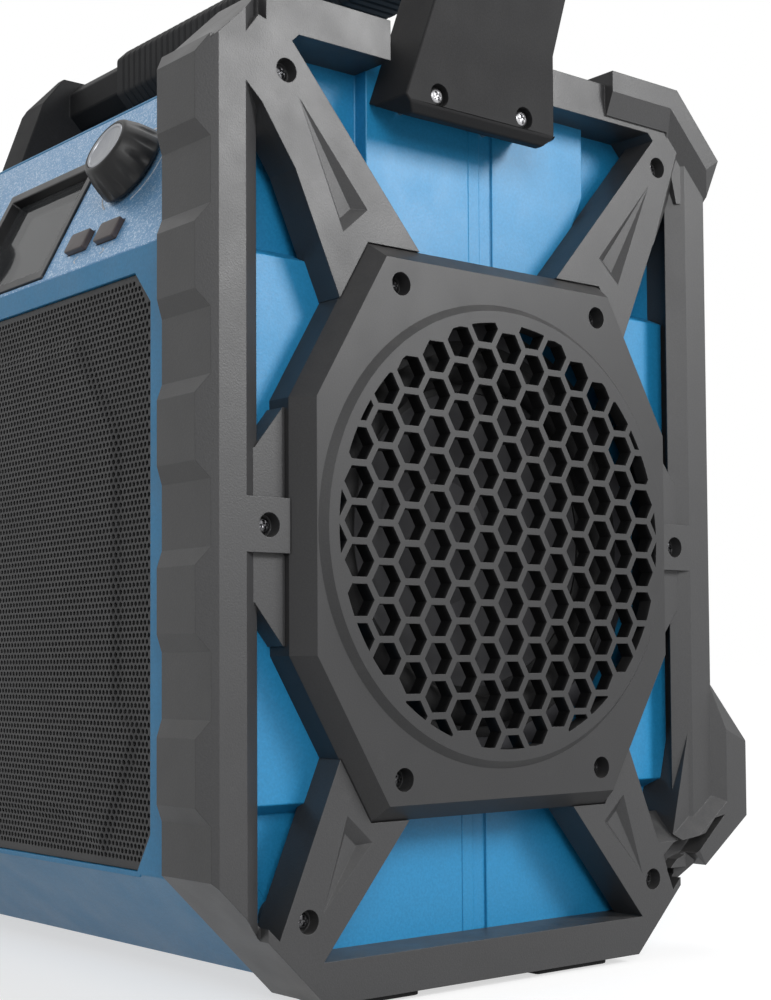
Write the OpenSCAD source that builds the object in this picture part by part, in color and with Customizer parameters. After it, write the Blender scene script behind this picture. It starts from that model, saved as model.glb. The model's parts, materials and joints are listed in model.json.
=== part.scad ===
// Jobsite radio: a two-part housing between two moulded side guards, with a
// tilted control panel over a front grille, a speaker behind an eight-sided
// bezel on each side, and a carrying handle.
//
// X runs across the radio, -Y is the front and +Z is up. The origin is on the
// ground, under the middle of the radio. Most sizes count from the axis that
// the two side speakers share. Pieces of a side are drawn in the side's own
// frame: x to the back, y up, and z outwards from the face of its bezel.

/* [Overall] */
// Width across the raised discs of the two side speakers
overall_w = 350; // [344:1:370]
// Height of the rubber feet below the guards
foot_h = 3; // [2:0.5:6]
// How far the front blocks of the guards reach from the speaker axis
front_reach = 121; // [119.5:0.5:123]
// How far the rear bumpers reach from the speaker axis
rear_reach = 132; // [126:1:136]

/* [Housing] */
// From the speaker axis to the flat front
housing_front = 112; // [110:0.5:113]
// From the speaker axis to the back
housing_rear = 109; // [107:0.5:110]
// From the speaker axis up to the top
housing_top = 172; // [170:0.5:173]
// From the speaker axis down to the underside
housing_bottom = 150; // [148:0.5:151]
// Thickness of the housing's walls
wall = 3; // [2.6:0.2:3.4]
// Length of the cut along the top rear edge
top_leg = 17; // [15:1:20]
// Length of the cut along the lower edges
bottom_leg = 35; // [33:1:38]
// How far the sides lie below the faces of the bezels
side_drop = 19; // [18:0.5:20]
// Rise of the middle field of each side above the side's lowest parts
field_rise = 8.3; // [7:0.1:9]
// Rise of the saddle that the handle stands on
saddle_rise = 6.3; // [5:0.1:7]
// Half height of the middle field of each side
field_half = 91; // [86:1:96]
// Where the front and rear shells meet, counted back from the speaker axis
seam_u = 2; // [0:0.5:2]
// Depth of the moulded lines in the sides
line_depth = 1; // [0.5:0.25:1.5]

/* [Control panel] */
// Angle of the panel from the vertical
panel_tilt = 27; // [26:0.5:28]
// Height of the panel's lower edge above the speaker axis
panel_foot = 98.6; // [97:0.2:99]
// Thickness of the panel plate
panel_t = 2.5; // [2:0.25:2.75]
// Width of the display frame
display_w = 76; // [66:1:80]
// Height of the display frame
display_h = 57; // [50:1:58]
// Width of a rectangular button
button_w = 14; // [13:0.5:17]
// Height of a rectangular button
button_h = 8.5; // [8:0.5:10]
// Distance from the middle of the panel to the inner buttons
button_near = 58.5; // [57:0.5:60]
// Distance from the middle of the panel to the outer buttons
button_far = 80.2; // [79:0.2:84]
// Travel of a button
button_travel = 1; // [0.6:0.1:1.2]
// Distance from the middle of the panel to a knob
knob_x = 73.7; // [71:0.1:76]
// Radius of a knob at its widest
knob_r = 16; // [15:0.25:17]
// Height of a knob
knob_h = 14.5; // [13:0.5:16]
// Radius of a knob's shaft
shaft_r = 3; // [2.5:0.1:3.2]

/* [Grille and front speakers] */
// From the ends of the control panel in to the sides of the grille
grille_margin = 16.2; // [14:0.2:22]
// Top of the grille above the speaker axis
grille_top = 89.5; // [87:0.5:91]
// Bottom of the grille below the speaker axis
grille_bottom = 114; // [110:0.5:114.5]
// Thickness of the grille sheet
grille_t = 1.2; // [0.8:0.2:1.4]
// Depth of the recess that the grille sits in
grille_recess = 2.4; // [2:0.2:2.8]
// Distance from the middle to each front speaker
driver_x = 62; // [56:1:66]
// Working radius of each front speaker
driver_r = 40; // [34:1:43]

/* [Side speakers] */
// Half width of the bezel's face
bezel_half_w = 82.4; // [80.5:0.2:83]
// Half height of the bezel's face
bezel_half_h = 92.4; // [90:0.2:94]
// Half length of the bezel's top and bottom edges
bezel_edge_w = 53; // [50:0.5:56]
// Half length of the bezel's front and rear edges
bezel_edge_h = 42.2; // [40:0.2:44]
// How much wider the bezel is at the foot of its sloped rim
bezel_flare = 5.6; // [4:0.2:6]
// Depth of the sloped rim
rim_drop = 8; // [7:0.5:9]
// Rise of the perforated disc
disc_rise = 2.5; // [1.5:0.25:3]
// Radius of the disc at its foot
disc_r = 82; // [79:0.5:82]
// Distance between the cells of the honeycomb
cell_pitch = 12.92; // [12:0.02:14]
// Width of each cell across its flats
cell_w = 10.6; // [9.6:0.1:10.8]
// Radius of the field of cells
field_r = 75.3; // [70:0.1:76]
// Working radius of each side speaker
woofer_r = 70; // [64:1:72]

/* [Guards] */
// How far the guard's arms and rails lie below the bezel's face
guard_drop = 7; // [6:0.5:7.5]
// How deep the guard's edge wraps round the housing, from the bezel's face
guard_depth = 38.3; // [34:0.1:42]
// From the speaker axis to the back of the rear rail
rail_back = 116; // [114:0.5:118]
// From the speaker axis to the recessed front of the post
post_front = 117.3; // [115:0.1:118]
// From the speaker axis up to the top rail's upper face
rail_top = 177; // [176:0.5:179]
// From the speaker axis down to the bottom rail's lower face
rail_bottom = 156; // [154:0.5:156]
// Half depth of the guard's window between the rails
window_half = 98; // [96:0.5:99]
// Top of the guard's window
window_top = 163; // [160:0.5:165]
// Bottom of the guard's window
window_bottom = 142; // [138:0.5:144]
// Thickness of the lip along the window's front and rear edges
lip_t = 5; // [4:0.5:6]
// How far the arms' undersides lie below the bezel's face
arm_drop = 22; // [20:0.5:24]
// How far the corner bumpers stand out of the rails at the top
bumper_rise = 4.3; // [3:0.1:5]
// Length of one block and one gap along the post
block_pitch = 54.7; // [53:0.1:56]
// Length of a block's flat front
block_len = 21.6; // [20:0.1:23]
// Length of a block's sloped end
block_slope = 5.8; // [5:0.1:6.5]
// Radius of the recesses that the screws sit in
recess_r = 4; // [3.6:0.1:4.4]

/* [Handle] */
// Height of the handle's top above the speaker axis
handle_top = 250; // [244:1:265]
// Front of the handle's foot, counted back from the speaker axis
handle_front = -45; // [-48:1:-42]
// Back of the handle's foot
handle_back = 25; // [22:1:28]
// Foot of the handle above the speaker axis
handle_foot = 144.5; // [142:0.5:148]
// Height of the bar
bar_h = 23; // [20:1:24]
// Depth of the bar
bar_d = 30; // [26:1:32]
// Thickness of the sleeve on the bar
sleeve_t = 3; // [2:0.5:4]

/* [Back] */
// From the battery door to the socket plate beside it
door_gap = 12; // [10:1:20]
// Height of the battery door
door_h = 92; // [80:1:100]
// Depth of the battery bay
bay_depth = 46; // [40:1:50]
// Length of the antenna rod
antenna_l = 190; // [150:1:200]
// Radius of the antenna rod
antenna_r = 3.5; // [3:0.1:4]

/* [Fits] */
// Radial clearance of a shaft or pin that turns
running = 0.05; // [0.03:0.01:0.09]
// Gap between pieces that are fitted side by side
fit = 0.25; // [0.15:0.05:0.3]
// Gap between the faces of pieces that move past each other
slide_gap = 0.3; // [0.2:0.05:0.4]

/* [Hidden] */
$fn = 48;

// --- Derived places and sizes ---
side_x = overall_w / 2 - disc_rise;
axis_y = (front_reach - rear_reach) / 2;
axis_h = rail_bottom + foot_h;
deep_drop = side_drop + field_rise;
deep_x = side_x - deep_drop;
saddle_drop = deep_drop - saddle_rise;
panel_len = (housing_top - panel_foot) / cos(panel_tilt);
panel_edge = 1.5;
plate_len = panel_len - panel_edge;
plate_half = side_x - guard_depth - 2 * fit;
display_y = 2 + display_h / 2;
button_y = 13.2;
knob_y = 43.3;
power_r = 5;
power_x = -(button_far + button_w / 2 + 12.8 + power_r);
board_z = -16;
board_t = 1.6;
grille_half = plate_half - grille_margin;
grille_z = -grille_recess;
driver_y = -12;
baffle_t = 7;
bezel_seat = side_drop;
cover = 5000;
eps = 0.01;

// Places of the screws in a side's frame, for one half of the side
bezel_screw = [46.8, 83.8];
guard_screw_top = [89, 150];
guard_screw_mid = [96.2, 0];
guard_screw_low = [81.3, -128.3];
handle_screw_v = 152;
handle_screws_u = [handle_front + 15, handle_back - 15];
screw_r = 1.5;
head_r = 2.75;
head_h = 2;
boss_r = 4.2;
boss_h = 6;
boss_low = deep_drop + wall + boss_h;

// --- Frames ---
module on_side(side) {
    mirror([side < 0 ? 1 : 0, 0, 0])
        translate([side_x, axis_y, axis_h]) rotate([90, 0, 90]) children();
}

// x to the right, y up the slope and z out of the panel
module on_panel() {
    translate([0, axis_y - housing_front, axis_h + panel_foot])
        rotate([90 - panel_tilt, 0, 0]) children();
}

// x to the right, y up and z to the front
module on_front() {
    translate([0, axis_y - housing_front, axis_h]) rotate([90, 0, 0]) children();
}

// Seen from behind: x to the right of the viewer, y up and z to the back
module on_rear() {
    translate([0, axis_y + housing_rear, axis_h]) rotate([90, 0, 180]) children();
}

// Runs a side view right across the radio
module across(half) {
    translate([0, axis_y, axis_h]) rotate([90, 0, 90]) translate([0, 0, -half])
        linear_extrude(2 * half) children();
}

// A slab of a side, from one depth to another, both counted out of the bezel's face
module slab(low, high) {
    translate([0, 0, low]) linear_extrude(high - low) children();
}

module mirrored_u() {
    for (m = [0, 1]) mirror([m, 0, 0]) children();
}

module mirrored_v() {
    for (m = [0, 1]) mirror([0, m, 0]) children();
}

// Stands on z = 0, centred on the z axis
module box(size) {
    translate([-size[0] / 2, -size[1] / 2, 0]) cube(size);
}

// Half of the radio in front of the seam, or behind it, in a side view
module half_plane(front) {
    translate([front ? seam_u - cover : seam_u, -cover / 2]) square([cover, cover]);
}

// A prism along the line from p to q; its section counts inwards to the left of that line
module band(p, q, section, over = 0) {
    d = q - p;
    translate([p[0], p[1], 0]) rotate([0, 0, atan2(d[1], d[0])]) rotate([90, 0, 90])
        translate([0, 0, -over]) linear_extrude(norm(d) + 2 * over) polygon(section);
}

// --- Housing ---
function cut_leg(leg, inset) = leg - (2 - sqrt(2)) * inset;

function housing_profile(inset) =
    let (
        rise = housing_top - inset - panel_foot + inset * sin(panel_tilt),
        brow = -housing_front + inset * cos(panel_tilt) + rise * tan(panel_tilt),
        knee = panel_foot - inset * tan(panel_tilt / 2),
        front = inset - housing_front,
        rear = housing_rear - inset,
        top = housing_top - inset,
        bottom = inset - housing_bottom,
        upper = cut_leg(top_leg, inset),
        lower = cut_leg(bottom_leg, inset)
    )
    [
        [front, bottom + lower], [front, knee], [brow, top], [rear - upper, top],
        [rear, top - upper], [rear, bottom + lower], [rear - lower, bottom],
        [front + lower, bottom]
    ];

// The raised middle field of a side, with sloped upper and lower edges
module side_field() {
    margin = 6;
    foot = field_half + 3.7;
    translate([margin - housing_front, 0, 0]) rotate([90, 0, 90])
        linear_extrude(housing_front + housing_rear - 2 * margin) polygon([
            [-foot, -deep_drop], [foot, -deep_drop], [field_half, -side_drop],
            [-field_half, -side_drop]
        ]);
}

// The saddle above that field, which the handle stands on
function saddle_outline(inset) = [
    [-45.4 + inset, field_half - 1], [40 - inset, field_half - 1], [61 - inset, 136],
    [61 - inset, housing_top - inset], [-45.4 + inset, housing_top - inset]
];

// One line in the saddle and one in the lower part of the side, both behind the seam
module side_lines() {
    line_u = 7.5;
    line_w = 6.2;
    translate([line_u, field_half + 4, -saddle_drop - line_depth]) cube([line_w, cover, cover]);
    translate([line_u, -cover - field_half - 4, -deep_drop - line_depth])
        cube([line_w, cover, cover]);
}

// The raised parts of a side are hollow, with the housing's wall thickness
module side_hollows() {
    low = -deep_drop - wall - eps;
    edge = field_half - 2 * wall;
    translate([3 * wall - housing_front, -edge, low])
        cube([housing_front + housing_rear - 6 * wall, 2 * edge, field_rise + eps]);
    slab(low, -saddle_drop - wall) intersection() {
        polygon(saddle_outline(wall));
        translate([-cover / 2, field_half + 3 * wall]) square(cover);
    }
}

// The bosses inside a side, and the ear that stands out of the front under the guard
module screw_bosses(front) {
    intersection() {
        union() {
            mirrored_u() {
                mirrored_v() translate([bezel_screw[0], bezel_screw[1], 0]) boss_post(side_drop);
                translate([guard_screw_mid[0], guard_screw_mid[1], 0]) boss_post(side_drop);
                for (p = [guard_screw_top, guard_screw_low]) translate([p[0], p[1], 0])
                    boss_post(deep_drop);
            }
            for (u = handle_screws_u) translate([u, handle_screw_v, 0]) boss_post(saddle_drop);
            front_ear(0);
        }
        slab(-cover, 0) half_plane(front);
    }
}

// A boss that reaches up into the wall whose outer face lies at the given depth
module boss_post(drop) {
    translate([0, 0, -boss_low]) cylinder(r = boss_r, h = boss_low - drop - wall / 2);
}

module front_ear(gap) {
    ear_r = 7;
    translate([-guard_screw_top[0], guard_screw_top[1], -boss_low - gap])
        cylinder(r = ear_r + gap, h = boss_low - deep_drop + gap);
}

module screw_holes() {
    depth = boss_low - 1;
    mirrored_u() {
        mirrored_v() translate([bezel_screw[0], bezel_screw[1], -depth])
            cylinder(r = screw_r + running, h = depth);
        for (p = [guard_screw_top, guard_screw_mid, guard_screw_low])
            translate([p[0], p[1], -depth]) cylinder(r = screw_r + running, h = depth);
    }
    for (u = handle_screws_u) translate([u, handle_screw_v, -depth])
        cylinder(r = screw_r + running, h = depth);
}

module shell(front) {
    difference() {
        union() {
            difference() {
                union() {
                    across(deep_x) intersection() {
                        polygon(housing_profile(0));
                        half_plane(front);
                    }
                    for (side = [-1, 1]) on_side(side) intersection() {
                        union() {
                            side_field();
                            slab(-deep_drop, -saddle_drop) polygon(saddle_outline(0));
                        }
                        slab(-cover, 0) half_plane(front);
                    }
                }
                across(deep_x - wall) polygon(housing_profile(wall));
                for (side = [-1, 1]) on_side(side) {
                    side_lines();
                    side_hollows();
                }
            }
            for (side = [-1, 1]) on_side(side) screw_bosses(front);
        }
        for (side = [-1, 1]) on_side(side) {
            translate([0, 0, -3 * side_drop]) cylinder(r = woofer_r + 2, h = 3 * side_drop, $fn = 96);
            screw_holes();
        }
    }
}

module grille_outline(gap = 0) {
    w = grille_half + gap;
    top = grille_top + gap;
    bottom = -grille_bottom - gap;
    polygon([
        [-w, bottom + 13], [-w + 8.5, bottom], [w - 8.5, bottom], [w, bottom + 13],
        [w, top - 11.5], [w - 10.5, top], [-w + 10.5, top], [-w, top - 11.5]
    ]);
}

module button_places() {
    for (x = [-button_far, -button_near, button_near, button_far])
        translate([x, button_y, 0]) children();
}

module knob_places() {
    for (x = [-knob_x, knob_x]) translate([x, knob_y, 0]) children();
}

// Everything that passes through the panel and the wall behind it
module panel_openings(gap) {
    translate([0, display_y, -cover / 2]) box([display_w + 2 * gap, display_h + 2 * gap, cover]);
    translate([0, 0, -cover / 2]) {
        button_places() box([button_w + 2 * gap, button_h + 2 * gap, cover]);
        knob_places() cylinder(r = bush_r + gap, h = cover);
        translate([power_x, button_y, 0]) cylinder(r = power_r + gap, h = cover);
    }
}

board_post_x = plate_half - 8;

module front_shell() {
    color("steelblue") difference() {
        union() {
            shell(true);
            // Wall behind the control panel
            on_panel() translate([-plate_half, 0, -panel_t - wall])
                cube([2 * plate_half, plate_len, wall]);
            // Baffle that carries the front speakers
            on_front() translate([0, 0, -baffle_t]) linear_extrude(baffle_t) grille_outline(2);
            // Posts for the control board
            on_panel() for (x = [-board_post_x, board_post_x], y = [14, 62])
                translate([x, y, board_z]) cylinder(r = 3.5, h = -board_z - panel_t - eps);
            // Posts for the amplifier board
            for (x = [-50, 50], u = [-64, -14])
                translate([x, axis_y + u, axis_h - housing_bottom + wall - eps])
                    cylinder(r = 3.5, h = amp_post_h);
        }
        on_front() {
            translate([0, 0, -grille_recess]) linear_extrude(cover) grille_outline(fit);
            for (x = [-driver_x, driver_x]) translate([x, driver_y, -3 * baffle_t])
                cylinder(r = driver_r + 2, h = 4 * baffle_t, $fn = 96);
        }
        on_panel() {
            translate([-plate_half - fit, 0, -panel_t])
                cube([2 * (plate_half + fit), plate_len + fit, cover]);
            intersection() {
                panel_openings(2 * fit);
                translate([0, panel_len / 2, -panel_t - 2 * wall])
                    box([cover, panel_len * 2, 3 * wall]);
            }
        }
    }
}

amp_post_h = 6;
plate_w = 46;
plate_h = 34;
socket_gap = 7.2;
socket_x = -(side_x - guard_depth - socket_gap - plate_w / 2);
socket_y = -82;
door_w = 2 * (-socket_x - plate_w / 2 - door_gap);
bay_half = door_w / 2 - 6;
bay_low = -108;
hinge_v = bay_low - 10;
hinge_z = 4;
door_low = hinge_v + 4;
bay_high = door_low + door_h - 20;
door_recess = 2;

module rear_shell() {
    color("steelblue") difference() {
        union() {
            shell(false);
            on_rear() {
                // Battery bay
                translate([-bay_half - 2, bay_low - 2, -bay_depth - 2])
                    cube([2 * bay_half + 4, bay_high - bay_low + 4, bay_depth + 2 - eps]);
                // Frame behind the edges of the battery door
                translate([-door_w / 2 - 2, door_low - 2, -wall - 2])
                    cube([door_w + 4, door_h + 4, wall + 2 - eps]);
                // Lugs that hold the hinge pin of the battery door
                for (x = [-1, 1]) translate([x * (door_w / 2 + 3), hinge_v, 0]) hinge_lug(6);
                // Posts for the main board
                for (x = [-74, 74], y = [16, 88]) translate([x, y, -main_board_z])
                    cylinder(r = 3.5, h = main_board_z - wall + eps);
                // Shelf that the folded antenna lies on
                translate([antenna_x - 156, antenna_y - antenna_r - slide_gap - 3, -eps])
                    cube([12, 3, antenna_z + antenna_r + eps]);
                // Boss that the fastener enters
                translate([0, fastener_y, -14]) cylinder(r = 7, h = 14 - eps);
            }
        }
        on_rear() {
            translate([-bay_half, bay_low, -bay_depth])
                cube([2 * bay_half, bay_high - bay_low, cover]);
            translate([-door_w / 2 - fit, door_low - fit, -door_recess])
                cube([door_w + 2 * fit, door_h + 2 * fit, cover]);
            translate([0, fastener_y, -11]) cylinder(r = stud_r + 1.5, h = cover);
            translate([0, hinge_v, hinge_z]) rotate([0, 90, 0])
                cylinder(r = hinge_r + running, h = 2 * door_w, center = true);
            translate([socket_x, socket_y, -cover / 2]) box([plate_w - 8, plate_h - 8, cover]);
        }
    }
}

hinge_r = 1.5;
stud_r = 2.5;
fastener_y = door_low + door_h - 9;
main_board_z = 10;

module hinge_lug(width) {
    rotate([0, 90, 0]) translate([0, 0, -width / 2]) linear_extrude(width) difference() {
        union() {
            translate([-hinge_z, 0]) circle(r = 3.4);
            translate([-hinge_z, -3.4]) square([hinge_z + wall, 6.8]);
        }
    }
}

// --- Control panel ---
module control_panel() {
    color("lightsteelblue") on_panel() difference() {
        translate([-plate_half, 0, -panel_t]) cube([2 * plate_half, plate_len, panel_t]);
        panel_openings(fit);
    }
}

display_rim = 4;
display_sink = 4.5;
lens_t = 1.5;
bezel_back = -8;

module display_bezel() {
    color("black") on_panel() translate([0, display_y, 0]) difference() {
        translate([0, 0, bezel_back]) box([display_w, display_h, 0.8 - bezel_back]);
        translate([0, 0, -display_sink])
            box([display_w - 2 * display_rim, display_h - 2 * display_rim, cover]);
        translate([0, 0, -cover / 2])
            box([display_w - 4 * display_rim, display_h - 4 * display_rim, cover]);
    }
}

module display_lens() {
    gap = 2 * (display_rim + fit);
    color([0.1, 0.11, 0.12, 0.9]) on_panel() translate([0, display_y, -display_sink])
        box([display_w - gap, display_h - gap, lens_t]);
}

module display_module() {
    color("darkslategray") on_panel() translate([0, display_y, board_z])
        box([display_w - 8, display_h - 8, bezel_back - board_z]);
}

switch_top = -10;

module control_board() {
    color("darkgreen") on_panel() {
        difference() {
            translate([-board_post_x - 5, 6, board_z - board_t])
                cube([2 * board_post_x + 10, 64, board_t]);
            knob_places() translate([0, 0, -cover / 2]) cylinder(r = shaft_r + 1, h = cover);
        }
        // Switches under the buttons
        button_places() translate([0, 0, board_z]) box([6, 6, switch_top - board_z]);
        translate([power_x, button_y, board_z]) box([6, 6, switch_top - board_z]);
    }
}

bush_r = 4.5;
knob_gap = 0.8;
dish_r = 9.8;
dish_depth = 2.2;
cap_t = 1.4;
knob_bore = 9;

module knob() {
    color([0.13, 0.13, 0.14]) difference() {
        rotate_extrude($fn = 96) polygon([
            [0, knob_gap], [knob_r - 0.6, knob_gap], [knob_r, knob_gap + 1.2],
            [knob_r - 0.3, knob_gap + 4.5], [knob_r - 1.6, knob_gap + 8],
            [knob_r - 4, knob_h - 1], [dish_r + 0.9, knob_h], [dish_r, knob_h - 0.8],
            [dish_r, knob_h - dish_depth], [0, knob_h - dish_depth]
        ]);
        for (i = [0:13]) rotate([0, 0, i * 360 / 14]) translate([knob_r + 1.2, 0, knob_gap + 1.6])
            rotate([0, -14, 0]) cylinder(r = 2, h = knob_h, $fn = 24);
        cylinder(r = shaft_r + running, h = knob_bore);
    }
}

module knob_cap() {
    color("silver") translate([0, 0, knob_h - dish_depth]) rotate_extrude($fn = 96)
        polygon([[0, 0], [dish_r - fit, 0], [dish_r - fit, cap_t], [5, 0.7], [0, 0.5]]);
}

module knob_shaft() {
    color("gainsboro") translate([0, 0, board_z - board_t])
        cylinder(r = shaft_r, h = knob_bore - slide_gap - board_z + board_t);
}

module encoder() {
    color("dimgray") difference() {
        union() {
            translate([0, 0, board_z]) box([13, 13, 7]);
            translate([0, 0, board_z]) cylinder(r = bush_r, h = -board_z + knob_gap - slide_gap);
        }
        translate([0, 0, -cover / 2]) cylinder(r = shaft_r + running, h = cover);
    }
}

module at_knob(side) {
    on_panel() translate([side * knob_x, knob_y, 0]) children();
}

module volume_knob() { at_knob(1) knob(); }
module volume_knob_cap() { at_knob(1) knob_cap(); }
module volume_shaft() { at_knob(1) knob_shaft(); }
module volume_encoder() { at_knob(1) encoder(); }
module tuning_knob() { at_knob(-1) knob(); }
module tuning_knob_cap() { at_knob(-1) knob_cap(); }
module tuning_shaft() { at_knob(-1) knob_shaft(); }
module tuning_encoder() { at_knob(-1) encoder(); }

button_rise = 2.2;
flange_z = -panel_t - wall - slide_gap;

module button(x) {
    color([0.36, 0.33, 0.33]) on_panel() translate([x, button_y, 0]) {
        translate([0, 0, flange_z]) box([button_w, button_h, button_rise - flange_z]);
        button_foot([button_w + 3, button_h + 3]);
    }
}

// Flange that keeps a button from falling out, and the stem that meets its switch
module button_foot(size) {
    stem_z = switch_top + button_travel + 0.1;
    translate([0, 0, flange_z - 1]) box([size[0], size[1], 1]);
    translate([0, 0, stem_z]) box([4, 4, flange_z - stem_z]);
}

module source_button() { button(-button_far); }
module band_button() { button(-button_near); }
module down_button() { button(button_near); }
module up_button() { button(button_far); }

module power_button() {
    color([0.36, 0.33, 0.33]) on_panel() translate([power_x, button_y, 0]) {
        translate([0, 0, flange_z]) cylinder(r = power_r, h = button_rise - flange_z);
        button_foot([2 * power_r + 3, 2 * power_r + 3]);
    }
}

// --- Grille and speakers ---
module speaker_grille() {
    emboss = 1.1;
    color([0.22, 0.22, 0.22]) on_front() translate([0, 0, grille_z]) {
        linear_extrude(grille_t) grille_outline(0);
        // Raised middle field, with cut corners
        translate([0, 0, grille_t - eps]) linear_extrude(emboss) mirrored_u() polygon([
            [-eps, 16 - grille_bottom], [grille_half - 53.5, 16 - grille_bottom],
            [grille_half - 33.5, 5 - grille_bottom], [grille_half - 9.5, 47 - grille_bottom],
            [grille_half - 23.5, 57 - grille_bottom], [grille_half - 23.5, grille_top - 52.5],
            [grille_half - 53.5, grille_top - 17.5], [-eps, grille_top - 17.5]
        ]);
    }
}

// A speaker faces +z, with the front of its flange at z = 0
module basket(r, flange_t, lip) {
    depth = 0.52 * r;
    throat = 0.42 * r;
    coil_hole = 0.28 * r;
    color("dimgray") difference() {
        rotate_extrude($fn = 96) polygon([
            [r, -flange_t], [r + lip, -flange_t], [r + lip, 0], [r - 3, 0],
            [r - 3, -flange_t], [throat + 2, -depth], [coil_hole, -depth],
            [coil_hole, -depth - 2], [throat + 3, -depth - 2]
        ]);
        // Windows between the spokes
        for (i = [0:5]) rotate([0, 0, 30 + i * 60]) translate([0.64 * r, 0, -0.75 * depth])
            box([0.26 * r, 0.34 * r, 0.5 * depth]);
    }
}

module magnet(r) {
    depth = 0.52 * r + 2;
    color("slategray") translate([0, 0, -depth - 0.3 * r]) difference() {
        cylinder(r = 0.52 * r, h = 0.3 * r, $fn = 96);
        // Gap that the voice coil moves in
        translate([0, 0, 6]) difference() {
            cylinder(r = 0.27 * r, h = cover);
            cylinder(r = 0.2 * r, h = cover);
        }
    }
}

module cone(r) {
    rim = 0.8 * r;
    neck = 0.24 * r;
    low = -0.36 * r;
    slope = (-3.5 - low) / (rim - 3 - neck);
    cap_r = 0.34 * r;
    cap_h = 0.1 * r;
    cap_y = low + 1 + (cap_r - neck) * slope;
    cap_curve = (cap_r * cap_r + cap_h * cap_h) / (2 * cap_h);
    color([0.16, 0.16, 0.17]) rotate_extrude($fn = 96) {
        polygon([
            [rim, -3.5], [rim, -2.5], [rim - 3, -2.5], [neck - 0.8, low + 1],
            [neck - 0.8, -0.6 * r], [neck, -0.6 * r], [neck, low], [rim - 2.6, -3.5]
        ]);
        // Dust cap
        intersection() {
            translate([0, cap_y - 0.6]) square([cap_r, r]);
            translate([0, cap_y + cap_h - cap_curve]) difference() {
                circle(r = cap_curve, $fn = 96);
                circle(r = cap_curve - 1, $fn = 96);
            }
        }
    }
}

module surround(r) {
    rim = 0.8 * r;
    middle = (rim + r - 2) / 2;
    roll = (r - 2 - rim) / 2 - 0.4;
    color([0.1, 0.1, 0.1]) rotate_extrude($fn = 96) difference() {
        union() {
            translate([middle, 0]) circle(r = roll, $fn = 32);
            translate([r - 3, 0]) square([4.5, 0.8]);
            translate([rim - 2.5, -2.5]) square([middle - roll - rim + 3.1, 0.8]);
            translate([middle - roll, -2.5]) square([0.8, 3]);
        }
        translate([middle, 0]) circle(r = roll - 0.8, $fn = 32);
        translate([middle - roll + 0.8, -cover]) square([2 * roll - 0.8 - eps, cover]);
    }
}

module at_driver(side) {
    on_front() translate([side * driver_x, driver_y, -baffle_t]) children();
}

module driver_basket(side) {
    at_driver(side) {
        basket(driver_r, 2, 6);
        magnet(driver_r);
    }
}

module left_driver_basket() { driver_basket(-1); }
module left_driver_cone() { at_driver(-1) cone(driver_r); }
module left_driver_surround() { at_driver(-1) surround(driver_r); }
module right_driver_basket() { driver_basket(1); }
module right_driver_cone() { at_driver(1) cone(driver_r); }
module right_driver_surround() { at_driver(1) surround(driver_r); }

woofer_flange = 2.4;

module at_woofer(side) {
    on_side(side) translate([0, 0, -side_drop + woofer_flange]) children();
}

module left_woofer_basket() { at_woofer(-1) basket(woofer_r, woofer_flange, 9); }
module left_woofer_magnet() { at_woofer(-1) magnet(woofer_r); }
module left_woofer_cone() { at_woofer(-1) cone(woofer_r); }
module left_woofer_surround() { at_woofer(-1) surround(woofer_r); }
module right_woofer_basket() { at_woofer(1) basket(woofer_r, woofer_flange, 9); }
module right_woofer_magnet() { at_woofer(1) magnet(woofer_r); }
module right_woofer_cone() { at_woofer(1) cone(woofer_r); }
module right_woofer_surround() { at_woofer(1) surround(woofer_r); }

// --- Side bezels ---
// The bezel's eight-sided outline, made wider or narrower all round
function bezel_outline(grow) =
    let (
        w = bezel_half_w + grow, h = bezel_half_h + grow,
        ew = bezel_edge_w + grow * 0.45, eh = bezel_edge_h
    )
    [[w, -eh], [w, eh], [ew, h], [-ew, h], [-w, eh], [-w, -eh], [-ew, -h], [ew, -h]];

module honeycomb() {
    columns = ceil(field_r / (cell_pitch * 0.866));
    rows = ceil(field_r / cell_pitch) + 1;
    row_shift = 1.9;
    // A cell whose centre lies further out than this would leave only a sliver
    limit = field_r + 3.5;
    intersection() {
        circle(r = field_r, $fn = 120);
        for (i = [-columns:columns], j = [-rows:rows]) {
            u = i * cell_pitch * sqrt(3) / 2;
            v = (j + (i % 2 == 0 ? 0 : 0.5)) * cell_pitch + row_shift;
            if (norm([u, v]) < limit) translate([u, v]) circle(r = cell_w / sqrt(3), $fn = 6);
        }
    }
}

bezel_face_t = 3.5;
bezel_wall = 3.5;

module side_bezel(side) {
    color([0.3, 0.3, 0.31]) on_side(side) difference() {
        union() {
            difference() {
                union() {
                    hull() {
                        slab(-rim_drop - eps, -rim_drop) polygon(bezel_outline(bezel_flare));
                        slab(-eps, 0) polygon(bezel_outline(0));
                    }
                    slab(-bezel_seat, -rim_drop) polygon(bezel_outline(bezel_flare));
                }
                slab(-cover, -bezel_face_t) polygon(bezel_outline(-bezel_wall));
                slab(-cover, -rim_drop - 2) polygon(bezel_outline(bezel_flare - bezel_wall));
            }
            // The disc stands out of the bezel's face with a sloped edge
            cylinder(r1 = disc_r, r2 = disc_r - disc_rise, h = disc_rise, $fn = 120);
            intersection() {
                mirrored_u() mirrored_v() translate([bezel_screw[0], bezel_screw[1], -bezel_seat])
                    cylinder(r = 6.5, h = bezel_seat);
                slab(-bezel_seat, -1) polygon(bezel_outline(-1));
            }
        }
        slab(-cover / 2, cover) honeycomb();
        mirrored_u() mirrored_v() translate([bezel_screw[0], bezel_screw[1], 0]) {
            translate([0, 0, -bezel_sink]) cylinder(r = recess_r, h = cover);
            translate([0, 0, -cover / 2]) cylinder(r = screw_r + running, h = cover);
        }
    }
}

bezel_sink = 6;

module left_bezel() { side_bezel(-1); }
module right_bezel() { side_bezel(1); }

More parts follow.
